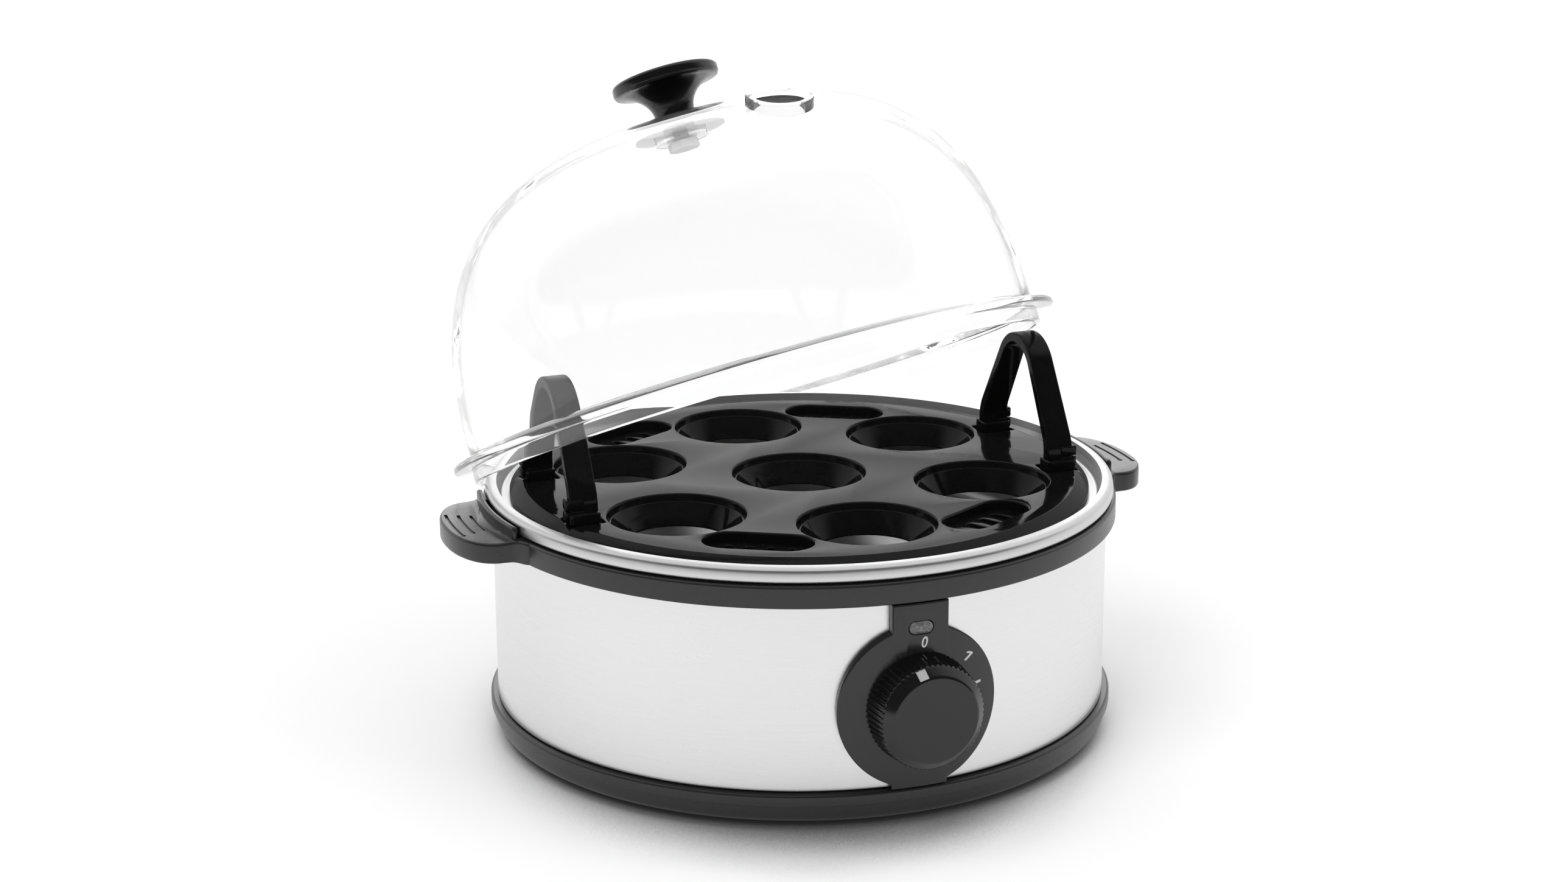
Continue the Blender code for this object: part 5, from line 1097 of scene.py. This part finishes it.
def panel_mesh():
    """Make the curved keyhole panel with softened edges, bosses and holes."""
    layers = [(PANEL_INNER, 0.0)] + [
        (PANEL_OUTER - PANEL_EDGE * (1 - up), PANEL_EDGE * (1 - out))
        for out, up in quarter(PANEL_EDGE_STEPS)
    ]
    shape = opened(loft([
        [(unrolled(x), -distance, z) for x, z in keyhole(inset)] for distance, inset in layers
    ]))
    for line in range(-PANEL_LINES, PANEL_LINES + 1):
        bmesh.ops.bisect_plane(
            shape, geom=shape.verts[:] + shape.edges[:] + shape.faces[:],
            plane_co=(line * MM, 0, 0), plane_no=(1, 0, 0),
        )
    plate = wrapped(mesh_from(shape))
    boss_root = sqrt(PANEL_INNER ** 2 - PANEL_BOSS_PLACE ** 2) + PANEL_SHEET / 2
    reach = (WALL_RADIUS - PANEL_SHEET, PANEL_OUTER + OVERRUN)
    return cut(
        fused(plate, *boss_rods(PANEL_BOSS_RADIUS, BOSS_BACK, boss_root)),
        *boss_rods(BOSS_SCREW_RADIUS + GAP, BOSS_BACK - OVERRUN, BOSS_BACK + BOSS_SCREW_REACH),
        front(rod(SHAFT_RADIUS + FIT_PLAY, *reach, CUP_SIDES), DIAL_HEIGHT),
        front(prism(stadium(LENS_LENGTH, LENS_WIDTH), *reach), LENS_HEIGHT),
    )


def lens_mesh():
    """Make the clear lens: a pillow in the panel on a socket for the lamp."""
    socket_back = UPSTAND_OUTER - LENS_SOCKET_LENGTH
    inner = UPSTAND_OUTER - OVERRUN
    window = stacked(
        stadium_at(LENS_LENGTH - 2 * GAP, LENS_WIDTH - 2 * GAP),
        [(0.0, inner), (0.0, PANEL_OUTER)] + [
            (-LENS_PILLOW * (1 - out), PANEL_OUTER + LENS_PROUD * up)
            for out, up in quarter(LENS_STEPS)[1:]
        ],
    )
    socket = rod(LENS_SOCKET_RADIUS, socket_back, UPSTAND_OUTER)
    bore = rod(LAMP_RADIUS + GAP, socket_back - OVERRUN, inner)
    return front(cut(fused(window, socket), bore), LENS_HEIGHT)


def lamp_mesh():
    """Make the neon lamp with its round tip."""
    tip = UPSTAND_OUTER - OVERRUN - GAP
    dome = [
        (LAMP_RADIUS * out, tip - LAMP_RADIUS * (1 - up))
        for out, up in quarter(LAMP_STEPS)[:-1]
    ]
    foot = [(0, tip - LAMP_LENGTH), (LAMP_RADIUS, tip - LAMP_LENGTH)]
    return front(lathe(foot + dome + [(0, tip)], SMALL_SIDES), LENS_HEIGHT)


def ribbed_ring(radius, height, depth):
    """Give a ring that steps in and out with the dial's ribs."""
    return [
        (*at(radius if index % 4 < 2 else radius - depth, angle), height)
        for index, angle in enumerate(around(4 * DIAL_RIBS))
    ]


def dial_mesh():
    """Make the ribbed dial with its chamfer and bore, on its own axis."""
    edge = DIAL_FRONT - DIAL_CHAMFER
    soft = SOFT_EDGE
    slope = (DIAL_BASE_RADIUS - DIAL_EDGE_RADIUS) / (edge - DIAL_BACK)
    ribbed = [
        (DIAL_BASE_RADIUS, DIAL_BACK),
        (DIAL_EDGE_RADIUS + slope * 2 * soft, edge - 2 * soft),
        (DIAL_EDGE_RADIUS, edge - soft),
    ]
    smooth = [(DIAL_EDGE_RADIUS - soft * inward, edge + soft * up)
              for inward, up in DIAL_EDGE_RINGS]
    smooth += [(DIAL_FACE_RADIUS + soft * out, DIAL_FRONT - soft * down)
               for out, down in DIAL_FACE_RINGS]
    rings = [ribbed_ring(*place, DIAL_RIB_DEPTH) for place in ribbed]
    rings += [ribbed_ring(*place, 0.0) for place in smooth]
    bore = rod(SHAFT_RADIUS + GAP, DIAL_BACK - OVERRUN, DIAL_BACK + DIAL_BORE_DEPTH)
    return front(cut(loft(rings), bore, pointer_shape(GAP / 3)), DIAL_HEIGHT)


def pointer_shape(margin):
    """Make the dial's pointer, or with a margin the pocket that it sits in."""
    half = POINTER_WIDTH / 2 + margin
    profile = []
    for radius, lift in section(
        POINTER_INNER - margin, POINTER_OUTER + margin,
        -POINTER_DEPTH - margin, OVERRUN if margin else POINTER_PROUD,
    ):
        share = (radius - DIAL_FACE_RADIUS) / (DIAL_EDGE_RADIUS - DIAL_FACE_RADIUS)
        profile.append((radius, DIAL_FRONT - DIAL_CHAMFER * share + lift))
    rings = [[(side * half, radius, height) for radius, height in profile] for side in (-1, 1)]
    return turned(loft(rings), POINTER_ANGLE)


def mark_wrapped(mesh):
    """Stand a flat mark up and bend it round the housing."""
    shape = opened(mesh)
    long_edges = [edge for edge in shape.edges if edge.calc_length() > MARK_STEP]
    bmesh.ops.subdivide_edges(shape, edges=long_edges, cuts=2)
    written(shape, mesh)
    for vertex in mesh.vertices:
        across, up, out = vertex.co
        vertex.co = (unrolled(across), -(PANEL_OUTER + out), DIAL_HEIGHT + up)
    return wrapped(mesh)


def zero_mesh():
    """Make the figure zero on the panel."""
    curve = bpy.data.curves.new("number", 'FONT')
    curve.body = "0"
    curve.align_x = 'CENTER'
    curve.align_y = 'CENTER'
    curve.size = 1.0
    curve.extrude = 0.5
    curve.offset = NUMBER_BOLDNESS
    mesh = taken(added("number", curve))
    heights = [vertex.co.y for vertex in mesh.vertices]
    widths = [vertex.co.x for vertex in mesh.vertices]
    scale = NUMBER_HEIGHT / (max(heights) - min(heights))
    middle = (max(heights) + min(heights)) / 2
    centre = (max(widths) + min(widths)) / 2
    thick = MARK_PROUD + MARK_SINK
    for vertex in mesh.vertices:
        y = (vertex.co.y - middle) * scale
        x = (vertex.co.x - centre) * scale * NUMBER_NARROWING + y * NUMBER_LEAN
        vertex.co = (x, y, vertex.co.z * thick + (MARK_PROUD - MARK_SINK) / 2)
    turn = Matrix.Rotation(-ZERO_ANGLE, 4, 'Z') @ Matrix.Translation((0, ZERO_RADIUS, 0))
    return mark_wrapped(moved(mesh, turn))


def flat_mark(corners, radius, angle):
    """Make a mark on the panel from its outline."""
    mesh = prism(corners, -MARK_SINK, MARK_PROUD)
    return mark_wrapped(turned(shifted(mesh, y=radius), -angle))


def one_mesh():
    """Make the figure one: an upright stroke with a flag."""
    half = NUMBER_HEIGHT / 2
    stroke = ONE_STROKE / 2
    flag = half - ONE_FLAG * ONE_FLAG_DROP
    return flat_mark([
        (-stroke, -half), (stroke, -half), (stroke, half), (-stroke * ONE_TIP, half),
        (-stroke - ONE_FLAG, flag), (-stroke - ONE_FLAG, flag - ONE_STROKE),
        (-stroke, half - ONE_STROKE * ONE_CROTCH),
    ], ONE_RADIUS, ONE_ANGLE)


def dash_mesh():
    """Make the dash at the end of the dial's scale."""
    width = DASH_WIDTH / 2
    length = DASH_LENGTH / 2
    return flat_mark(section(-width, width, -length, length), DASH_RADIUS, DASH_ANGLE)


# Tray

def sunk(outline_at, low, high, edge):
    """Make a cutter whose mouth flares round at the deck."""
    mouth = [(edge * (1 - out), high - edge + edge * up) for out, up in quarter(EDGE_STEPS)]
    return stacked(outline_at, [(0.0, low), *mouth, (edge, high + OVERRUN)])


def tray_mesh():
    """Make the tray: deck, cups, steam recesses and handle wells."""
    deck = spun(
        (0, DECK_BOTTOM), (TRAY_RADIUS - TRAY_BEVEL - TRAY_SHEET / 2, DECK_BOTTOM),
        (TRAY_RADIUS - TRAY_SHEET, TRAY_BOTTOM), (TRAY_RADIUS, TRAY_BOTTOM, FINE_EDGE),
        (TRAY_RADIUS, TRAY_BOTTOM + TRAY_EDGE, TRAY_SIDE_ROUND),
        (TRAY_RADIUS - TRAY_BEVEL, DECK_TOP, LIP_EDGE), (0, DECK_TOP),
    )
    root = DECK_TOP - TRAY_SHEET / 2
    cup = rounded([
        (0, CUP_BOTTOM), (SEAT_MOUTH + SEAT_WALL, CUP_BOTTOM, LIP_EDGE),
        (SEAT_RADIUS + SEAT_WALL, root), (0, root),
    ])
    lip = SEAT_LIP_ROUND
    hollow = rounded([
        (0, CUP_BOTTOM - OVERRUN), (SEAT_MOUTH, CUP_BOTTOM - OVERRUN),
        (SEAT_MOUTH, CUP_BOTTOM + lip / 2, lip),
        (SEAT_RADIUS - SEAT_STEP, DECK_TOP - SEAT_STEP_DEPTH, SOFT_EDGE),
        (SEAT_RADIUS, DECK_TOP - SEAT_STEP_DEPTH, SEAT_STEP_ROUND),
    ])
    hollow += [
        (SEAT_RADIUS + lip * (1 - out), DECK_TOP - lip * (1 - up)) for out, up in quarter(LIP_STEPS)
    ]
    hollow += [(SEAT_RADIUS + lip, DECK_TOP + OVERRUN), (0, DECK_TOP + OVERRUN)]
    ring = [at(SEAT_PITCH, angle - pi / 2) for angle in around(SEAT_COUNT)]
    cups, hollows = [
        [shifted(lathe(outline, CUP_SIDES), *place) for place in [(0.0, 0.0)] + ring]
        for outline in (cup, hollow)
    ]
    floor = DECK_TOP - STEAM_DEPTH
    under = floor - STEAM_WALL
    recess_at = stadium_at(STEAM_LENGTH, STEAM_WIDTH)
    slot_at = stadium_at(STEAM_SLOT_LENGTH, STEAM_SLOT_WIDTH)

    def outward(shape, angle):
        """Lay a shape across the tray at a steam recess."""
        return turned(shifted(turned(shape, pi / 2), x=STEAM_PLACE), angle)

    pans = [outward(prism(recess_at(STEAM_WALL), under, root), angle) for angle in STEAM_ANGLES]
    recesses = [
        outward(sunk(recess_at, floor, DECK_TOP, lip), angle) for angle in STEAM_ANGLES
    ]
    slots = []
    for angle in STEAM_ANGLES:
        for index in range(STEAM_SLOT_COUNT):
            offset = STEAM_SLOT_PITCH * (index - (STEAM_SLOT_COUNT - 1) / 2)
            slot = sunk(slot_at, under - OVERRUN, floor, lip / 2)
            slots.append(turned(shifted(slot, x=STEAM_PLACE, y=offset), angle))
    half_width = HANDLE_PAD_WIDTH / 2 + WELL_MARGIN
    half_length = HANDLE_PAD_LENGTH / 2 + WELL_MARGIN

    def well(centre):
        """Make the cutter of the well for one handle foot."""
        return sunk(lambda grow: round_section(
            HANDLE_PLACE - half_width - grow, HANDLE_PLACE + half_width + grow,
            centre - half_length - grow, centre + half_length + grow, WELL_CORNER + grow,
        ), DECK_TOP - WELL_DEPTH, DECK_TOP, lip / 2)

    wells = [turned(well(hand * PAD_PLACE), side) for side in (0.0, pi) for hand in (-1, 1)]
    way = (HANDLE_SCREW_RADIUS + GAP, DECK_BOTTOM - OVERRUN, DECK_TOP + OVERRUN)
    ways = [
        shifted(rod(*way), side * HANDLE_PLACE, hand * PAD_PLACE)
        for side in (-1, 1) for hand in (-1, 1)
    ]
    body = fused(fused(deck, *cups), *pans)
    body = cut(cut(cut(body, *hollows), *recesses), *wells)
    return cut(body, *slots, *ways)


def handle_path():
    """Give the middle line of a handle, as (sideways, height)."""
    centre = HANDLE_TOP - HANDLE_ARC
    radius = HANDLE_ARC - HANDLE_STRAP / 2
    half_span = HANDLE_HALF_SPAN - HANDLE_STRAP / 2
    side_reach, side_rise = at(radius, HANDLE_LEAN)
    corner = centre + side_rise - (half_span - side_reach) / tan(HANDLE_LEAN)
    side = rounded([
        (half_span, HANDLE_FOOT), (half_span, corner, HANDLE_BEND),
        (side_reach, centre + side_rise),
    ], HANDLE_BEND_STEP)[:-1]
    turns = angles(HANDLE_LEAN, pi - 2 * HANDLE_LEAN, HANDLE_ARC_STEPS)
    bow = [Vector(point) for point in arc(radius, centre, turns)]
    return side + bow + [Vector((-x, z)) for x, z in side[::-1]]


def handle_mesh(middle):
    """Make one tray handle: a flaring strap with its feet and latch ribs."""
    half_strap = HANDLE_STRAP / 2
    rings = []
    for point, along in headings(handle_path()):
        outward = Vector((along.y, -along.x))
        share = max(0.0, 1 - (point.y - HANDLE_FOOT) / (HANDLE_TOP - HANDLE_FOOT))
        half_width = (HANDLE_WIDTH + HANDLE_FLARE * share ** HANDLE_FLARE_POWER) / 2
        rings.append([
            (HANDLE_PLACE + across, *(point + outward * out))
            for across, out in round_section(
                -half_width, half_width, -half_strap, half_strap, HANDLE_EDGE)
        ])
    pads = []
    ribs = []
    holes = []
    half_width = HANDLE_PAD_WIDTH / 2
    half_length = HANDLE_PAD_LENGTH / 2
    half_rib = half_strap + GAP / 2
    pad_top = HANDLE_FOOT + HANDLE_PAD_HEIGHT
    for hand in (-1, 1):
        place = hand * PAD_PLACE
        pad = round_section(
            HANDLE_PLACE - half_width, HANDLE_PLACE + half_width,
            place - half_length, place + half_length, HANDLE_PAD_CORNER)
        centre = Vector((HANDLE_PLACE, place))
        pads.append(slab(pad, centre, HANDLE_FOOT, pad_top, HANDLE_PAD_EDGE))
        rib = round_section(
            HANDLE_PLACE, HANDLE_OUTER + LATCH_REACH, place - half_rib, place + half_rib,
            LIP_EDGE)
        centre = Vector((HANDLE_OUTER, place))
        for index in range(2):
            height = DECK_TOP + LATCH_FIRST + LATCH_PITCH * index
            bottom = height - LATCH_HEIGHT / 2
            ribs.append(slab(rib, centre, bottom, height + LATCH_HEIGHT / 2, LATCH_EDGE))
        hole = rod(HANDLE_SCREW_RADIUS + GAP, HANDLE_FOOT - OVERRUN, pad_top - GAP)
        holes.append(shifted(hole, x=HANDLE_PLACE, y=place))
    return turned(cut(fused(fused(loft(rings), *pads), *ribs), *holes), middle)


# Lid

def node_centre(name):
    """Give the mean of a CAD node's points."""
    points = [vertex.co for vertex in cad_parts[name].data.vertices]
    return sum(points, Vector()) / len(points)


def lid_pose():
    """Read the lid's place and lean from its two washers."""
    above = node_centre("knob_washer")
    up = (above - node_centre("inner_washer")).normalized()
    turn = Matrix.Rotation(atan2(up.y, up.x), 4, 'Z') @ Matrix.Rotation(acos(up.z), 4, 'Y')
    place = above - up * (KNOB_WASHER_BOTTOM + KNOB_WASHER_HEIGHT / 2)
    return Matrix.Translation(place) @ turn


def dome_points(inset):
    """Give points down the dome's profile, clear of the screw's bore."""
    points = []
    for step in range(LID_STEPS + 1):
        angle = pi / 2 * (1 - step / LID_STEPS)
        radius = (LID_DOME_RADIUS - inset) * cos(angle) ** (2 / LID_SIDE_POWER)
        rise = (LID_RISE - inset) * sin(angle) ** (2 / LID_TOP_POWER)
        if radius > KNOB_SCREW_RADIUS + GAP + OVERRUN:
            points.append((radius, LID_DOME_BASE + rise))
    return points


def dome_height(radius):
    """Give the dome's outer height at a radius."""
    share = 1 - (radius / LID_DOME_RADIUS) ** LID_SIDE_POWER
    return LID_DOME_BASE + LID_RISE * share ** (1 / LID_TOP_POWER)


def vent_turn():
    """Give the frame of the steam vent, square on the dome."""
    step = LID_VENT_STEP
    fall = dome_height(LID_VENT_PLACE - step) - dome_height(LID_VENT_PLACE + step)
    place = Matrix.Translation((LID_VENT_PLACE, 0, dome_height(LID_VENT_PLACE)))
    lean = Matrix.Rotation(atan2(fall, 2 * step), 4, 'Y')
    return Matrix.Rotation(LID_VENT_AZIMUTH, 4, 'Z') @ place @ lean


def dome_mesh():
    """Make the clear lid: skirt, flange, dome and steam vent."""
    bore = KNOB_SCREW_RADIUS + GAP
    foot = rounded([
        (LID_SKIRT_OUTER, LID_DOME_BASE, LIP_EDGE),
        (LID_FLANGE_RADIUS, LID_SKIRT + LID_FLANGE_EDGE, LID_FLANGE_TOP_ROUND),
        (LID_FLANGE_RADIUS, LID_SKIRT, LID_FLANGE_SIDE_ROUND),
        (LID_SKIRT_OUTER, LID_SKIRT, LIP_EDGE), (LID_SKIRT_OUTER, 0.0, LIP_EDGE),
        (LID_SKIRT_INNER, 0.0, LIP_EDGE), (LID_SKIRT_INNER, LID_SKIRT, LID_SKIRT_ROOT_ROUND),
    ])
    body = lathe([
        (bore, LID_TOP), *dome_points(0.0), *foot, *dome_points(LID_SHEET)[::-1],
        (bore, LID_TOP - LID_SHEET),
    ])
    place = vent_turn()
    edge = LID_VENT_EDGE
    outer = LID_VENT_HOLE + LID_VENT_RING
    ring = spun(
        (0, -LID_VENT_ROOT), (outer, -LID_VENT_ROOT), (outer, LID_VENT_HEIGHT, edge),
        (0, LID_VENT_HEIGHT), sides=CUP_SIDES,
    )
    hole = lathe([
        (0, -LID_VENT_HOLE), (LID_VENT_HOLE, -LID_VENT_HOLE),
        (LID_VENT_HOLE, LID_VENT_HEIGHT - edge),
        (LID_VENT_HOLE + edge * LID_VENT_MOUTH, LID_VENT_HEIGHT - edge * LID_VENT_MOUTH),
        (LID_VENT_HOLE + edge, LID_VENT_HEIGHT),
        (LID_VENT_HOLE + edge, LID_VENT_HEIGHT + OVERRUN), (0, LID_VENT_HEIGHT + OVERRUN),
    ], CUP_SIDES)
    return cut(fused(body, moved(ring, place)), moved(hole, place))


def knob_mesh():
    """Make the knob with the fine groove under its edge."""
    neck_top = KNOB_BOTTOM + KNOB_NECK_HEIGHT
    flare_top = neck_top + KNOB_FLARE_HEIGHT
    disc_top = flare_top + KNOB_EDGE
    spread = KNOB_RADIUS - KNOB_NECK_RADIUS
    flare = [
        (KNOB_RADIUS - spread * out, neck_top + KNOB_FLARE_HEIGHT * up)
        for out, up in quarter(FLARE_STEPS)[1:-1]
    ]
    groove = flare_top + KNOB_GROOVE
    edge = rounded([
        (KNOB_RADIUS - KNOB_GROOVE, flare_top, FINE_EDGE), (KNOB_RADIUS - KNOB_GROOVE, groove),
        (KNOB_RADIUS, groove + KNOB_GROOVE, SOFT_EDGE), (KNOB_RADIUS, disc_top, KNOB_EDGE_ROUND),
        (KNOB_RADIUS * KNOB_CROWN_START, disc_top + KNOB_CROWN * KNOB_CROWN_DROP),
    ])
    shares = angles(KNOB_CROWN_START, -KNOB_CROWN_START, CROWN_STEPS)[1:-1]
    body = lathe([
        (0, KNOB_BOTTOM), (KNOB_NECK_RADIUS, KNOB_BOTTOM), (KNOB_NECK_RADIUS, neck_top),
        *flare, *edge,
        *[(KNOB_RADIUS * share, disc_top + KNOB_CROWN * (1 - share ** 2)) for share in shares],
        (0, disc_top + KNOB_CROWN),
    ], KNOB_SIDES)
    top = KNOB_BOTTOM + KNOB_SCREW_GRIP + GAP
    return cut(body, rod(KNOB_SCREW_RADIUS + GAP, KNOB_BOTTOM - OVERRUN, top))


def washer_mesh():
    """Make the washer between the dome and the knob."""
    bottom = KNOB_WASHER_BOTTOM
    top = KNOB_WASHER_BOTTOM + KNOB_WASHER_HEIGHT
    return spun(
        (KNOB_SCREW_RADIUS + GAP, bottom), (KNOB_WASHER_RADIUS, bottom, FINE_EDGE),
        (KNOB_WASHER_RADIUS, top, LIP_EDGE), (KNOB_SCREW_RADIUS + GAP, top), sides=KNOB_SIDES,
    )


piece("base", base_mesh(), "housing", "black_plastic", "base_moulding")
piece("wall", wall_mesh(), "housing", "brushed_wall", "wall_shell")
piece("collar", collar_mesh(), "housing", "black_plastic", "upper_collar")
piece("bowl", bowl_mesh(), "housing", "bowl_steel", "water_bowl")
for index, angle in enumerate(around(4), 1):
    foot = shifted(foot_mesh(), *at(FOOT_PLACE, angle))
    piece(f"foot_{index}", foot, "housing", "rubber", f"rubber_foot_{index}")
piece("gland", back(gland_mesh(), GLAND_HEIGHT), "housing", "black_plastic", "cord_gland")
piece("panel", panel_mesh(), "housing", "panel_black", "control_panel", slot="black_plastic")
piece("lens", lens_mesh(), "housing", "lens_plastic", "lamp_lens")
piece("lamp", lamp_mesh(), "housing", "neon_glass", "indicator_lamp")
for name, mark in (("zero", zero_mesh()), ("one", one_mesh()), ("end", dash_mesh())):
    piece(f"mark_{name}", mark, "housing", "mark_ink", slot="white_plastic")
piece("dial", dial_mesh(), "dial", "knob_black", "dial_knob")
pointer = front(pointer_shape(0.0), DIAL_HEIGHT)
piece("pointer", pointer, "dial", "pointer_white", "dial_pointer", slot="white_plastic")
piece("tray", tray_mesh(), "tray", "gloss_black", "egg_tray")
for name, middle in (("right", 0.0), ("left", pi)):
    piece(f"handle_{name}", handle_mesh(middle), "tray", "gloss_black", f"tray_handle_{name}")
lid_frame = lid_pose()
piece("dome", moved(dome_mesh(), lid_frame), "lid", "clear_plastic", "lid_dome")
piece("knob", moved(knob_mesh(), lid_frame), "lid", "knob_black", "lid_knob")
piece("washer", moved(washer_mesh(), lid_frame), "lid", "knob_black", "knob_washer")

dress("silicone", "bowl_seal")
dress("cast_aluminium", "heater_plate")
dress("white_plastic", "thermal_fuse", "terminal_block")
dress("black_plastic", "regulator_body")
dress("clear_plastic", "inner_washer")
dress("pale_nylon", "lid_screw")
dress(
    "zinc_steel", "heating_element", "element_clamp", "clamp_nut", "thermostat",
    "terminal_screw", "regulator_nut", "regulator_bracket", "bracket_screw_left",
    "bracket_screw_right", "regulator_shaft",
    *[f"{kind}_screw_{index}" for kind in ("base", "handle") for index in range(1, 5)],
)


# Stage: white floor with a painted shadow, white world and soft lamps

def seen_mask(tree):
    """Give 1 for the camera, in reflections and through clear plastic."""
    rays = node(tree, "LightPath").outputs
    seen = worked(tree, 'MAXIMUM', rays["Is Camera Ray"], rays["Is Glossy Ray"])
    return worked(tree, 'MAXIMUM', seen, rays["Is Transmission Ray"])


def floor_stage():
    """Lay the white floor, with a painted shadow darkening its colour and glow where the boiler
    nearly touches it.
    """
    shape = bmesh.new()
    squares = FLOOR_SQUARES
    bmesh.ops.create_grid(shape, x_segments=squares, y_segments=squares, size=FLOOR_SIZE)
    mesh = mesh_from(shape)
    if mesh.polygons[0].normal.z < 0:
        mesh.flip_normals()
    made = bpy.data.materials.new("floor_white_painted_shadow")
    made.use_nodes = True
    tree = made.node_tree
    # Painted shadow: occlusion tilted toward the back sets the floor's colour through the ramp
    toward = node(tree, "CombineXYZ", enumerate(PAINTED_SHADOW_SIDE)).outputs["Vector"]
    near = node(tree, "AmbientOcclusion", {"Distance": PAINTED_SHADOW_REACH, "Normal": toward})
    near.samples = PAINTED_SHADOW_SAMPLES
    ramp = node(tree, "ValToRGB", {"Fac": near.outputs["AO"]})
    ramp.color_ramp.interpolation = 'LINEAR'
    stops = ramp.color_ramp.elements
    for spot, level in PAINTED_SHADOW_LEVELS[1:-1]:
        stops.new(spot)
    for stop, (spot, level) in zip(stops, PAINTED_SHADOW_LEVELS):
        stop.position = spot
        stop.color = opaque(level)
    # Glossy rays see the painted shadow paler, and the glow below carries the painted shadow too
    mirrored = node(tree, "LightPath").outputs["Is Glossy Ray"]
    paled = worked(tree, 'MULTIPLY', mirrored, PAINTED_SHADOW_MIRROR_PALING)
    colour = mixed(tree, paled, ramp.outputs["Color"], WHITE)
    fill(tree.nodes["Principled BSDF"], {
        "Base Color": colour, "Roughness": FLOOR_ROUGHNESS, "Specular IOR Level": 0.0,
        "Emission Color": colour,
        "Emission Strength": worked(tree, 'MULTIPLY', seen_mask(tree), FLOOR_GLOW),
    })
    mesh.materials.append(made)
    added("floor", mesh)


def white_world():
    """Light evenly, show white all round, and mirror a dark room in front."""
    world = bpy.data.worlds.new("studio")
    bpy.context.scene.world = world
    world.use_nodes = True
    tree = world.node_tree
    lighting = fill(tree.nodes["Background"], {"Color": WHITE, "Strength": WORLD_LEVEL})
    facing = node(tree, "VectorMath")
    facing.operation = 'DOT_PRODUCT'
    fill(facing, {0: node(tree, "TexCoord").outputs["Generated"], 1: SWEEP_SIDE})
    fade = node(tree, "MapRange", {
        "Value": facing.outputs["Value"], "From Min": SWEEP_START, "From Max": SWEEP_END,
        "To Min": ROOM_LEVEL, "To Max": 1.0,
    })
    fade.interpolation_type = 'SMOOTHSTEP'
    mirrors = node(tree, "LightPath").outputs["Glossy Depth"]
    straight = worked(tree, 'LESS_THAN', mirrors, NO_MIRROR)
    backdrop = worked(tree, 'MAXIMUM', fade.outputs["Result"], straight)
    shown = node(tree, "Background", {"Color": WHITE, "Strength": backdrop})
    mix = node(tree, "MixShader", {
        0: seen_mask(tree), 1: lighting.outputs[0], 2: shown.outputs[0],
    })
    fill(tree.nodes["World Output"], {"Surface": mix.outputs[0]})


def soft_lamp(name, place, size, power, mirrored):
    """Hang one square soft lamp, aimed at the boiler."""
    light = bpy.data.lights.new(name, 'AREA')
    light.shape = 'SQUARE'
    light.size = size
    light.energy = power
    lamp = added(name, light)
    lamp.location = place
    aim = LAMP_AIM - Vector(place)
    lamp.rotation_euler = aim.to_track_quat('-Z', 'Y').to_euler()
    lamp.visible_camera = False
    lamp.visible_glossy = mirrored
    lamp.visible_transmission = mirrored


floor_stage()
white_world()
for lamp in LAMPS:
    soft_lamp(*lamp)

camera_data = bpy.data.cameras.new("camera")
camera_data.lens = CAMERA_LENS
camera_data.sensor_width = SENSOR_WIDTH
camera = added("camera", camera_data)
turn = Matrix.Rotation(CAMERA_YAW, 4, 'Z') @ Matrix.Rotation(pi / 2 + CAMERA_PITCH, 4, 'X')
roll = Matrix.Rotation(CAMERA_ROLL, 4, 'Z')
camera.matrix_world = Matrix.Translation(CAMERA_PLACE) @ turn @ roll
bpy.context.scene.camera = camera

bpy.context.scene.view_settings.view_transform = 'Standard'
